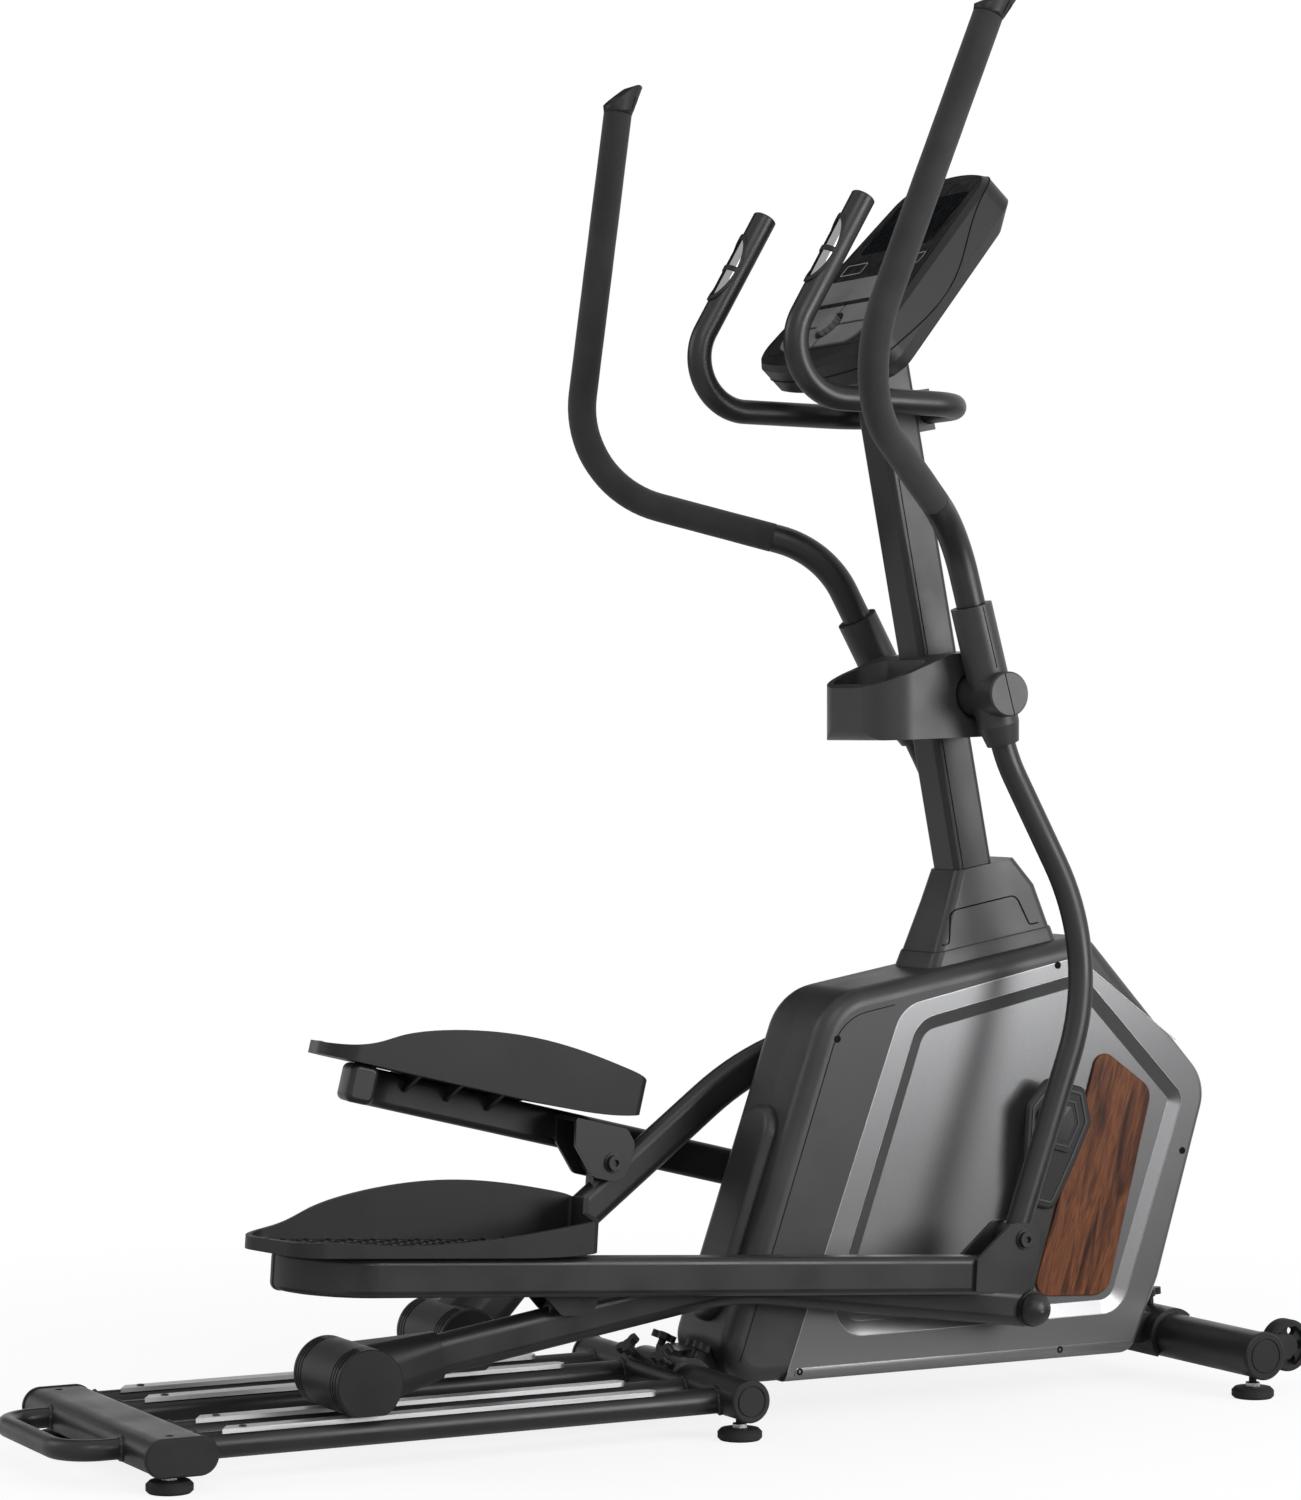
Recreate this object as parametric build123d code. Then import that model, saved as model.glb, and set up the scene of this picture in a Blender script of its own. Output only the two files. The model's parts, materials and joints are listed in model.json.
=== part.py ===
from build123d import *
import math
import os

# Elliptical trainer with a front drive housing, rolling pedal arms and swinging handles.
# Millimetres. +X points forward, +Y to the user's left, +Z up, and the floor is z = 0.
# "right" pieces lie at negative Y and "left" pieces at positive Y.
SIDES = ("right", "left")

# Clearances
FIT = 0.05
SEAT = 0.15
GAP = 0.3
SIDE_GAP = 1.0

# Stride linkage, seen from the side
CRANK_X = 530.0
CRANK_Z = 349.0
CRANK_RADIUS = 234.0
CRANK_REST_ANGLE = 15.3
ROLLER_ARM_LENGTH = 956.0
PIVOT_ALONG = 295.0
PIVOT_ABOVE = 75.0
PEDAL_LINK = 606.0
SWING_X = 418.0
SWING_Z = 916.0
SWING_LENGTH = 692.0

# Planes across the machine, as distances from the middle
HOUSING_HALF_WIDTH = 75.0
CRANK_ARM_GAP = 5.0
CRANK_ARM_INNER = HOUSING_HALF_WIDTH + CRANK_ARM_GAP
CRANK_ARM_THICKNESS = 16.0
CRANK_COVER_THICKNESS = 11.0
ROLLER_FROM_CRANK = 44.0
ROLLER_PLANE = CRANK_ARM_INNER + ROLLER_FROM_CRANK
SWING_FROM_ROLLER = -4.0
SWING_PLANE = ROLLER_PLANE + SWING_FROM_ROLLER
PEDAL_FROM_ROLLER = 61.0
PEDAL_PLANE = ROLLER_PLANE + PEDAL_FROM_ROLLER
GRIP_PLANE = 300.0

# Rail frame: rear stabiliser, carry handle, four rails and the mid stabiliser, welded
REAR_X = -730.0
REAR_Z = 43.0
REAR_WIDTH = 88.0
REAR_HEIGHT = 43.0
REAR_LENGTH = 410.0
MID_X = 8.0
MID_Z = 50.0
MID_DIAMETER = 50.0
MID_LENGTH = 424.0
RAIL_DIAMETER = 32.0
RAIL_Z = 46.0
RAIL_HALF_GAUGE = 41.0
TUBE_WALL = 2.5
HANDLE_TUBE = 25.0
HANDLE_REACH = 120.0
HANDLE_HALF_WIDTH = 120.0
HANDLE_CORNER = 45.0

# Aluminium running strips on the rails
STRIP_TOP = 65.0
STRIP_BOTTOM = 59.5
STRIP_WIDTH = 22.0
STRIP_REAR = -668.0
STRIP_FRONT = -98.0
STRIP_SLANT = 14.0

# Front stabiliser, transport wheels and levelling feet
FRONT_X = 752.0
FRONT_Z = 57.0
FRONT_DIAMETER = 60.0
FRONT_LENGTH = 500.0
CARRIER_RADIUS = 34.0
CARRIER_WIDTH = 24.0
CARRIER_X = 816.0
CARRIER_Z = 62.0
CARRIER_Y = 212.0
CARRIER_AXLE = 8.0
CARRIER_EAR = 4.0
FOOT_DIAMETER = 55.0
FOOT_HEIGHT = 15.0
STUD_DIAMETER = 10.0
STUD_LENGTH = 34.0
NUT_ACROSS = 17.0
NUT_HEIGHT = 5.0
REAR_FOOT = (REAR_X - 6.0, 185.0)
MID_FOOT = (MID_X, 188.0)
FRONT_FOOT = (FRONT_X, 228.0)
CAP_FLANGE = 6.0
CAP_PLUG = 14.0
CAP_LIP = 1.3

# Main frame: floor beam, upright, crank bearing shell and flywheel fork
BEAM_BOTTOM = 47.4
BEAM_HEIGHT = 40.0
BEAM_WIDTH = 60.0
SADDLE_WALL = 7.0
SADDLE_HALF_WIDTH = 62.0
SHELL_DIAMETER = 66.0
SHELL_HALF_LENGTH = 34.0
BEARING_DIAMETER = 52.0
BEARING_WIDTH = 15.0
CRANK_AXLE = 25.0
SHOULDER_Z = 612.0
PLUG_TOP_Z = 690.0

# Mast: a rounded box tube that leans back as it rises
MAST_X = 406.0
MAST_Z = 916.0
MAST_LEAN = 11.03
MAST_DEPTH = 58.0
MAST_WIDTH = 60.0
MAST_CORNER = 8.0
MAST_WALL = 2.5
MAST_TOP_Z = 1386.0
MAST_GROOVE = 2.5

# Drive inside the housing
PULLEY_RADIUS = 125.0
PULLEY_INNER = 37.0
PULLEY_WIDTH = 20.0
FLYWHEEL_X = 625.0
FLYWHEEL_Z = 215.0
FLYWHEEL_RADIUS = 100.0
FLYWHEEL_INNER = 38.0
FLYWHEEL_WIDTH = 18.0
FLYWHEEL_AXLE = 17.0
FLYWHEEL_PULLEY_RADIUS = 20.0
FORK_THICKNESS = 8.0
BELT_THICKNESS = 3.0

# Magnetic brake: a yoke that swings towards the flywheel rim
BRAKE_PIN = (541.0, 131.0)
BRAKE_PIN_DIAMETER = 8.0
BRAKE_CHEEK = 3.0
BRAKE_CHEEK_GAP = 2.0
BRAKE_ARC = (170.0, 232.0)
BRAKE_RIM_GAP = 5.0

# Housing outline at its widest, as corners (x, z, corner radius)
HOUSING = (
    (34.5, 44.0, 48.0),
    (668.0, 44.0, 26.0),
    (712.0, 142.0, 30.0),
    (792.0, 398.0, 60.0),
    (604.0, 601.0, 34.0),
    (205.0, 530.0, 80.0),
)
HOUSING_WALL = 4.0
HOUSING_SIDE_WALL = 13.0
COVER_ROUND = 22.0
PANEL_ROUND = 7.0
SEAM = 0.2

# Satin panel: where it parts from the cover, and its recessed field
PANEL_EDGE = (
    (112.0, -20.0, 0.0),
    (311.0, 514.0, 50.0),
    (581.0, 571.0, 35.0),
    (738.0, 456.0, 0.0),
    (900.0, 560.0, 0.0),
    (900.0, -20.0, 0.0),
)
FIELD = (
    (192.0, 95.0, 42.0),
    (650.0, 98.0, 42.0),
    (751.0, 382.0, 24.0),
    (587.0, 551.0, 28.0),
    (334.0, 497.0, 46.0),
)
FIELD_BEVEL = 18.0
FIELD_DEPTH = 6.0
INLAY = (
    (511.0, 128.0, 20.0),
    (630.0, 122.0, 28.0),
    (702.0, 392.0, 24.0),
    (617.0, 453.0, 18.0),
    (584.0, 345.0, 60.0),
)
INLAY_THICKNESS = 4.0
AXLE_HOLE = 44.0

# Rear spine cover on the housing
SPINE_WIDTH = 82.0
SPINE_LOW = 118.0
SPINE_HIGH = 388.0
SPINE_DEPTH = 14.0

# Boot round the foot of the mast
BOOT_REAR = 372.0
BOOT_FRONT = 566.0
BOOT_WIDTH = 100.0
BOOT_WAIST_REAR = 404.0
BOOT_WAIST_FRONT = 540.0
BOOT_WAIST_WIDTH = 84.0
BOOT_WAIST_Z = 655.0
BOOT_TOP_REAR = 419.0
BOOT_TOP_FRONT = 510.0
BOOT_TOP_WIDTH = 76.0
BOOT_TOP_Z = 694.0
BOOT_CORNER = 12.0
BOOT_WALL = 4.0
BOOT_RIBS = 5

# Bottle tray round the swing axle
TRAY_REAR = 272.0
TRAY_FRONT = 462.0
TRAY_HALF_WIDTH = 88.0
TRAY_BOTTOM = 856.0
TRAY_REAR_TOP = 926.0
TRAY_FRONT_TOP = 974.0
TRAY_RECESS = 68.0
TRAY_RECESS_DEPTH = 8.0
TRAY_FLOOR = 8.0

# Swinging handles, in a side view with the lower pivot straight below the swing axle
SWING_AXLE = 25.0
HUB_BOSS = 58.0
HUB_SLEEVE = 54.0
HUB_REACH = 43.0
HUB_OUTER = SWING_PLANE + HUB_REACH
HUB_UP = 118.0
HUB_DOWN = 66.0
HUB_LEAN = 16.0
ARM_TUBE = 32.0
HANDLE_UPPER_TUBE = 34.0
GRIP_DIAMETER = 38.0
LOWER_KNEE_AT = 87.0
LOWER_BOW = (126.0, -336.0)
LOWER_BOW_RADIUS = 335.0
LOWER_KNEE_RADIUS = 200.0
UPPER_KNEE_AT = 220.0
UPPER_BEND = (-317.0, 367.0)
UPPER_TOP = (-131.0, 835.0)
UPPER_KNEE_RADIUS = 130.0
UPPER_BEND_RADIUS = 140.0
GRIP_CAP_LENGTH = 46.0
PIVOT_SLEEVE = 40.0
PIVOT_BOLT = 12.0

# Pedal arms and footplates
PEDAL_TUBE_HEIGHT = 48.0
PEDAL_TUBE_WIDTH = 36.0
PEDAL_TUBE_REAR = -366.0
PEDAL_TUBE_END = 108.0
PEDAL_TUBE_BEND = 75.0
PEDAL_TUBE_FRONT = 566.0
PEDAL_PIVOT_DROP = 28.0
PEDAL_PIVOT_RISE = 47.0
CLEVIS_PLATE = 6.0
FOOTPLATE_REAR_INNER = -437.0
FOOTPLATE_REAR_OUTER = -398.0
FOOTPLATE_FRONT_INNER = 25.0
FOOTPLATE_FRONT_OUTER = -15.0
FOOTPLATE_INWARD = 103.0
FOOTPLATE_OUTWARD = 39.0
FOOTPLATE_INNER = PEDAL_PLANE - FOOTPLATE_INWARD
FOOTPLATE_OUTER = PEDAL_PLANE + FOOTPLATE_OUTWARD
FOOTPLATE_WALL = 7.0
FOOTPLATE_FLOOR = 6.0
FOOTPLATE_TOE = -150.0
FOOTPLATE_TOE_RISE = 15.0
FOOTPLATE_LIFT = 4.0
FOOTPLATE_SKIRT = 2.5

# Roller arms
ROLLER_RADIUS = 38.5
ROLLER_WIDTH = 22.0
ROLLER_AXLE = 12.0
SHROUD_RADIUS = 42.0
SHROUD_HALF_LENGTH = 67.0
SHROUD_WALL = 2.4
SHROUD_NECK = 118.0
VENT_COUNT = 3
VENT_PITCH = 7.0
VENT_WIDTH = 3.0
VENT_DEPTH = 0.9
OVAL_HEIGHT = 50.0
OVAL_WIDTH = 28.0
OVAL_WALL = 2.5
ARM_HUMP = 70.0
ARM_HUMP_ALONG = 520.0
ARM_HUMP_RADIUS = 400.0
PIN_BUSHING = 46.0
PIN_CAP = 43.0

# Pulse handlebar
PULSE_TUBE = 32.0
PULSE_HALF_WIDTH = 126.0
PULSE_FRONT_X = 356.0 + MAST_DEPTH / 2
PULSE_Z = 1286.0
PULSE_KNEE_X = 73.0
PULSE_END = (221.0, 1543.0)
PULSE_KNEE_RADIUS = 69.0
PULSE_CORNER_RADIUS = 62.0

# Console, measured on its face: origin at the middle, x to the user's right, y up the face
CONSOLE_X = 320.0
CONSOLE_Z = 1472.0
CONSOLE_TILT = 47.8
CONSOLE_LOW = -158.0
CONSOLE_LOW_HALF_WIDTH = 149.0
CONSOLE_LOW_ARCH = 22.0
CONSOLE_TOP = 158.0
CONSOLE_TOP_HALF_WIDTH = 105.0
CONSOLE_TOP_ARCH = 17.0
CONSOLE_CORNER = 40.0
CONSOLE_DEPTH = 70.0
CONSOLE_SIDE_DEPTH = 46.0
CONSOLE_FACE_ROUND = 8.0
CONSOLE_FACE_INSET = 5.0
CONSOLE_TAPER = 24.0
CONSOLE_WALL = 4.0
WINDOW_WIDTH = 176.0
WINDOW_HEIGHT = 96.0
WINDOW_Y = 82.0
WINDOW_DEPTH = 3.0
DIAL_Y = -108.0
DIAL_RADIUS = 17.0
KEY_PAD_WIDTH = 204.0
KEY_PAD_HEIGHT = 74.0
KEY_PAD_CORNER = 30.0
KEY_SPLIT = 4.0
KEY_INNER = 24.0
KEY_RISE = 2.5
KEY_DEPTH = 6.0
KEY_TRAVEL = 1.5


# Geometry helpers


def xz_plane(y):
    """Plane facing the right side at the given y, with local x along X and local y along Z."""
    return Plane(origin=(0, y, 0), x_dir=(1, 0, 0), z_dir=(0, -1, 0))


def slab(outline, y_from, y_to):
    """Extrude a side-view outline between two planes across the machine."""
    return extrude(xz_plane(y_to) * outline, amount=y_to - y_from, dir=(0, -1, 0))


def bar(x, z, y_from, y_to, diameter):
    """Round bar across the machine."""
    return slab(Pos(x, z) * Circle(diameter / 2), y_from, y_to)


def rod(start, end, diameter):
    """Round bar between two points."""
    start = Vector(start)
    reach = Vector(end) - start
    return extrude(Plane(origin=start, z_dir=reach) * Circle(diameter / 2), amount=reach.length)


def block(x_from, x_to, y_from, y_to, z_from, z_to):
    """Box given by its limits."""
    centre = Pos((x_from + x_to) / 2, (y_from + y_to) / 2, (z_from + z_to) / 2)
    return centre * Box(x_to - x_from, y_to - y_from, z_to - z_from)


def rounded(corners):
    """Face of a closed outline whose corners (x, z, radius) are rounded by arcs."""
    points = [Vector(x, z) for x, z, radius in corners]
    stops = []
    for i, (x, z, radius) in enumerate(corners):
        here = points[i]
        back = (points[i - 1] - here).normalized()
        ahead = (points[(i + 1) % len(points)] - here).normalized()
        half = math.radians(back.get_angle(ahead)) / 2
        reach = radius / math.tan(half)
        inward = (back + ahead).normalized()
        middle = here + inward * (radius / math.sin(half) - radius)
        stops.append((here + back * reach, middle, here + ahead * reach, radius))
    edges = []
    for i, (start, middle, end, radius) in enumerate(stops):
        if radius > 0:
            edges.append(ThreePointArc(start, middle, end))
        edges.append(Line(end, stops[(i + 1) % len(stops)][0]))
    return make_face(edges)


def tapered(big, big_radius, small, small_radius):
    """Outline of two circles joined by the straight lines that touch both."""
    span = small - big
    lean = math.acos((big_radius - small_radius) / span.length)
    heading = math.atan2(span.Y, span.X)

    def touch(centre, radius, turn):
        return (centre.X + radius * math.cos(turn), centre.Y + radius * math.sin(turn))

    big_left = touch(big, big_radius, heading + lean)
    big_right = touch(big, big_radius, heading - lean)
    small_left = touch(small, small_radius, heading + lean)
    small_right = touch(small, small_radius, heading - lean)
    edges = [
        Line(big_left, small_left),
        ThreePointArc(small_left, touch(small, small_radius, heading), small_right),
        Line(small_right, big_right),
        ThreePointArc(big_right, touch(big, big_radius, heading + math.pi), big_left),
    ]
    return make_face(edges)


def inset(corners, amount):
    """Rounded outline moved inward by the given amount."""
    return offset(rounded(corners), amount=-amount)


def bent_tube(points, radii, outer, bore):
    """Round tube along straight runs joined by arcs; a bore of zero makes it solid."""
    if len(points) == 2:
        path = Line(*points)
    else:
        path = FilletPolyline(*points, radius=radii)
    section = Circle(outer / 2)
    if bore > 0:
        section -= Circle(bore / 2)
    return sweep(Plane(origin=path @ 0, z_dir=path % 0) * section, path=path)


def fused(parts):
    """Union of several solids."""
    result = parts[0]
    for part in parts[1:]:
        result += part
    return result


def group(parts):
    """Several separate solids kept in one node."""
    solids = []
    for part in parts:
        solids.extend(part.solids())
    return Compound(solids)


def export(name, part):
    """Write one node."""
    export_step(part, os.path.join("parts", name + ".step"))


# Linkage pose at rest


def rest_pose(side):
    """Pivot points and link angles of one side, worked out from the crank's rest angle."""
    turn = math.radians(-CRANK_REST_ANGLE if side == "right" else 180 - CRANK_REST_ANGLE)
    pin = Vector(CRANK_X + CRANK_RADIUS * math.sin(turn), CRANK_Z - CRANK_RADIUS * math.cos(turn))
    axle_z = STRIP_TOP + ROLLER_RADIUS + GAP
    axle_x = pin.X - math.sqrt(ROLLER_ARM_LENGTH**2 - (pin.Y - axle_z) ** 2)
    axle = Vector(axle_x, axle_z)
    along = (pin - axle).normalized()
    above = Vector(-along.Y, along.X)
    pivot = axle + along * PIVOT_ALONG + above * PIVOT_ABOVE
    swing = Vector(SWING_X, SWING_Z)
    span = swing - pivot
    reach = (PEDAL_LINK**2 - SWING_LENGTH**2 + span.length**2) / (2 * span.length)
    rise = math.sqrt(PEDAL_LINK**2 - reach**2)
    towards = span.normalized()
    foot = pivot + towards * reach + Vector(towards.Y, -towards.X) * rise
    link_angle = math.degrees(math.atan2(foot.Y - pivot.Y, foot.X - pivot.X))
    base_angle = math.degrees(math.asin((PEDAL_PIVOT_RISE + PEDAL_PIVOT_DROP) / PEDAL_LINK))
    return {
        "pin": pin,
        "axle": axle,
        "pivot": pivot,
        "foot": foot,
        "arm_angle": math.degrees(math.atan2(along.Y, along.X)),
        "tube_angle": link_angle - base_angle,
        "swing_angle": math.degrees(math.atan2(foot.X - SWING_X, SWING_Z - foot.Y)),
    }


POSE = {side: rest_pose(side) for side in SIDES}
PEDAL_FRONT_PIVOT = math.sqrt(PEDAL_LINK**2 - (PEDAL_PIVOT_RISE + PEDAL_PIVOT_DROP) ** 2)


def roller_frame(side):
    """Origin at the roller axle, x towards the crank pin."""
    pose = POSE[side]
    return Pos(pose["axle"].X, 0, pose["axle"].Y) * Rot(0, -pose["arm_angle"], 0)


def pedal_frame(side):
    """Origin on the pedal tube's middle line above the rear pivot, x along the tube."""
    pose = POSE[side]
    turn = Rot(0, -pose["tube_angle"], 0)
    return Pos(pose["pivot"].X, 0, pose["pivot"].Y) * turn * Pos(0, 0, PEDAL_PIVOT_DROP)


def swing_frame(side):
    """Origin at the swing axle, -z towards the lower pivot."""
    return Pos(SWING_X, 0, SWING_Z) * Rot(0, -POSE[side]["swing_angle"], 0)


def on_side(side, frame, part):
    """Place a piece modelled with y pointing outward on the chosen side."""
    if side == "right":
        part = mirror(part, about=Plane.XZ)
    return frame * part


# Rail frame and what sits on it


def oval(width, height):
    """Flat-oval side-view section, wider than tall."""
    return SlotOverall(width, height)


def rail_positions():
    """Distances of the four rails from the middle, as signed y values."""
    inner = ROLLER_PLANE - RAIL_HALF_GAUGE
    outer = ROLLER_PLANE + RAIL_HALF_GAUGE
    return (-outer, -inner, inner, outer)


def handle_points():
    """Path of the carry handle behind the rear stabiliser."""
    return (
        (REAR_X, -HANDLE_HALF_WIDTH, REAR_Z),
        (REAR_X - HANDLE_REACH + HANDLE_TUBE / 2, -HANDLE_HALF_WIDTH, REAR_Z),
        (REAR_X - HANDLE_REACH + HANDLE_TUBE / 2, HANDLE_HALF_WIDTH, REAR_Z),
        (REAR_X, HANDLE_HALF_WIDTH, REAR_Z),
    )


def stud_hole(x, y):
    """Clearance for a levelling stud."""
    return Pos(x, y, 0) * Cylinder(STUD_DIAMETER / 2 + FIT, STUD_LENGTH * 4)


def rail_frame():
    """Welded rear frame: oval stabiliser with a carry handle, four rails, round stabiliser."""
    half_rear = REAR_LENGTH / 2
    half_mid = MID_LENGTH / 2
    double = 2 * TUBE_WALL
    outer = [slab(Pos(REAR_X, REAR_Z) * oval(REAR_WIDTH, REAR_HEIGHT), -half_rear, half_rear)]
    inner = [
        slab(Pos(REAR_X, REAR_Z) * oval(REAR_WIDTH - double, REAR_HEIGHT - double), -half_rear, half_rear)
    ]
    outer.append(bar(MID_X, MID_Z, -half_mid, half_mid, MID_DIAMETER))
    inner.append(bar(MID_X, MID_Z, -half_mid, half_mid, MID_DIAMETER - double))
    for y in rail_positions():
        outer.append(rod((REAR_X, y, RAIL_Z), (MID_X, y, RAIL_Z), RAIL_DIAMETER))
        inner.append(rod((REAR_X, y, RAIL_Z), (MID_X, y, RAIL_Z), RAIL_DIAMETER - double))
    outer.append(bent_tube(handle_points(), HANDLE_CORNER, HANDLE_TUBE, 0))
    inner.append(bent_tube(handle_points(), HANDLE_CORNER, HANDLE_TUBE - double, 0))
    frame = fused(outer)
    for cavity in inner:
        frame -= cavity
    for x, y in (REAR_FOOT, MID_FOOT):
        frame -= stud_hole(x, y)
        frame -= stud_hole(x, -y)
    return frame


def running_strips():
    """Four aluminium strips saddled on the rails, cut on a slant behind and rounded in front."""
    strips = []
    for y in rail_positions():
        half = STRIP_WIDTH / 2
        outline = Polygon(
            (STRIP_REAR, y - half),
            (STRIP_FRONT - half, y - half),
            (STRIP_FRONT - half, y + half),
            (STRIP_REAR + STRIP_SLANT, y + half),
            align=None,
        )
        outline += Pos(STRIP_FRONT - half, y) * Circle(half)
        strip = extrude(Pos(0, 0, STRIP_BOTTOM) * outline, amount=STRIP_TOP - STRIP_BOTTOM)
        strip -= rod((REAR_X, y, RAIL_Z), (MID_X, y, RAIL_Z), RAIL_DIAMETER + 2 * SEAT)
        strips.append(strip)
    return group(strips)


def round_cap(x, z, y_end, tube):
    """Plastic end cap with a ring groove, plugged into a round tube at y_end."""
    outward = 1 if y_end > 0 else -1
    face = tube / 2 + CAP_LIP
    ring = face * 0.68
    profile = Polygon(
        (0, -CAP_PLUG),
        (tube / 2 - TUBE_WALL - SEAT, -CAP_PLUG),
        (tube / 2 - TUBE_WALL - SEAT, 0),
        (face, 0),
        (face, CAP_FLANGE - 2),
        (face - 2, CAP_FLANGE),
        (ring + 1.5, CAP_FLANGE),
        (ring + 1.5, CAP_FLANGE - 1.5),
        (ring, CAP_FLANGE - 1.5),
        (ring, CAP_FLANGE),
        (0, CAP_FLANGE),
        align=None,
    )
    cap = revolve(Plane.XZ * profile, axis=Axis.Z)
    return Pos(x, y_end, z) * Rot(-90 * outward, 0, 0) * cap


def oval_cap(y_end):
    """Flat end cap of the rear stabiliser."""
    outward = 1 if y_end > 0 else -1
    lip = 2 * CAP_LIP
    flange = oval(REAR_WIDTH + lip, REAR_HEIGHT + lip)
    tight = 2 * (TUBE_WALL + SEAT)
    plug = oval(REAR_WIDTH - tight, REAR_HEIGHT - tight)
    edges = sorted((y_end, y_end + outward * CAP_FLANGE))
    cap = slab(Pos(REAR_X, REAR_Z) * flange, *edges)
    cap = chamfer(cap.faces().sort_by(Axis.Y)[-1 if outward > 0 else 0].edges(), 2)
    plug_edges = sorted((y_end, y_end - outward * CAP_PLUG))
    return cap + slab(Pos(REAR_X, REAR_Z) * plug, *plug_edges)


def stabiliser_caps():
    """End caps of the three stabilisers."""
    caps = []
    for sign in (-1, 1):
        caps.append(oval_cap(sign * REAR_LENGTH / 2))
        caps.append(round_cap(MID_X, MID_Z, sign * MID_LENGTH / 2, MID_DIAMETER))
        caps.append(round_cap(FRONT_X, FRONT_Z, sign * FRONT_LENGTH / 2, FRONT_DIAMETER))
    return group(caps)


# Front stabiliser, transport wheels and feet


def front_stabiliser():
    """Round front tube with a pair of ears for each transport wheel."""
    half = FRONT_LENGTH / 2
    outer = bar(FRONT_X, FRONT_Z, -half, half, FRONT_DIAMETER)
    ear = rounded(
        (
            (FRONT_X, FRONT_Z - 18, 0),
            (CARRIER_X - 4, CARRIER_Z - 16, 0),
            (CARRIER_X + 14, CARRIER_Z, 12),
            (CARRIER_X - 4, CARRIER_Z + 16, 0),
            (FRONT_X, FRONT_Z + 24, 0),
        )
    )
    ears = []
    for sign in (-1, 1):
        for edge in (-1, 1):
            middle = sign * CARRIER_Y + edge * (CARRIER_WIDTH / 2 + GAP + CARRIER_EAR / 2)
            ears.append(slab(ear, middle - CARRIER_EAR / 2, middle + CARRIER_EAR / 2))
        axle_half = CARRIER_WIDTH / 2 + GAP + CARRIER_EAR
        axle_ends = (sign * CARRIER_Y - axle_half, sign * CARRIER_Y + axle_half)
        ears.append(bar(CARRIER_X, CARRIER_Z, *axle_ends, CARRIER_AXLE))
    tube = fused([outer] + ears) - bar(FRONT_X, FRONT_Z, -half, half, FRONT_DIAMETER - 2 * TUBE_WALL)
    x, y = FRONT_FOOT
    return tube - stud_hole(x, y) - stud_hole(x, -y)


def transport_wheel(sign):
    """Spoked transport wheel on the front stabiliser."""
    half = CARRIER_WIDTH / 2
    rim = CARRIER_RADIUS
    profile = Polygon(
        (CARRIER_AXLE / 2 + FIT, -half),
        (11, -half),
        (11, -5),
        (rim - 9, -5),
        (rim - 9, -half),
        (rim - 3, -half),
        (rim, -half + 4),
        (rim, half - 4),
        (rim - 3, half),
        (rim - 9, half),
        (rim - 9, 5),
        (11, 5),
        (11, half),
        (CARRIER_AXLE / 2 + FIT, half),
        align=None,
    )
    wheel = revolve(Plane.XZ * profile, axis=Axis.Z)
    windows = PolarLocations(20, 5) * extrude(Circle(6.5), amount=half, both=True)
    wheel -= windows
    return Pos(CARRIER_X, sign * CARRIER_Y, CARRIER_Z) * Rot(90, 0, 0) * wheel


def foot(x, y):
    """Levelling foot: rubber pad, lock nut and threaded stud."""
    radius = FOOT_DIAMETER / 2
    profile = Polygon(
        (0, 0),
        (radius - 3, 0),
        (radius, 3),
        (radius, FOOT_HEIGHT - 5),
        (radius - 4, FOOT_HEIGHT - 1),
        (NUT_ACROSS / 2 + 3, FOOT_HEIGHT),
        (STUD_DIAMETER / 2, FOOT_HEIGHT),
        (STUD_DIAMETER / 2, FOOT_HEIGHT + STUD_LENGTH),
        (0, FOOT_HEIGHT + STUD_LENGTH),
        align=None,
    )
    pad = revolve(Plane.XZ * profile, axis=Axis.Z)
    nut = extrude(RegularPolygon(NUT_ACROSS / 2, 6, major_radius=False), amount=NUT_HEIGHT)
    return Pos(x, y, 0) * (pad + Pos(0, 0, FOOT_HEIGHT) * nut)


# Main frame and mast


def mast_frame(z):
    """Frame on the mast's middle line at height z, local z up along the mast, x forward."""
    x = MAST_X - math.tan(math.radians(MAST_LEAN)) * (z - MAST_Z)
    return Pos(x, 0, z) * Rot(0, -MAST_LEAN, 0)


def mast_run(z_from, z_to):
    """Length along the mast between two heights."""
    return (z_to - z_from) / math.cos(math.radians(MAST_LEAN))


def saddle(x, z, tube, start_angle, half_width):
    """Half ring that cradles a stabiliser tube, opening opposite to start_angle plus 90."""
    inner = tube / 2 + SEAT
    ring = Circle(inner + SADDLE_WALL) - Circle(inner)
    reach = 4 * tube
    half_plane = Rot(0, 0, start_angle) * Pos(0, reach / 2) * Rectangle(reach, reach)
    return slab(Pos(x, z) * (ring & half_plane), -half_width, half_width)


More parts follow.
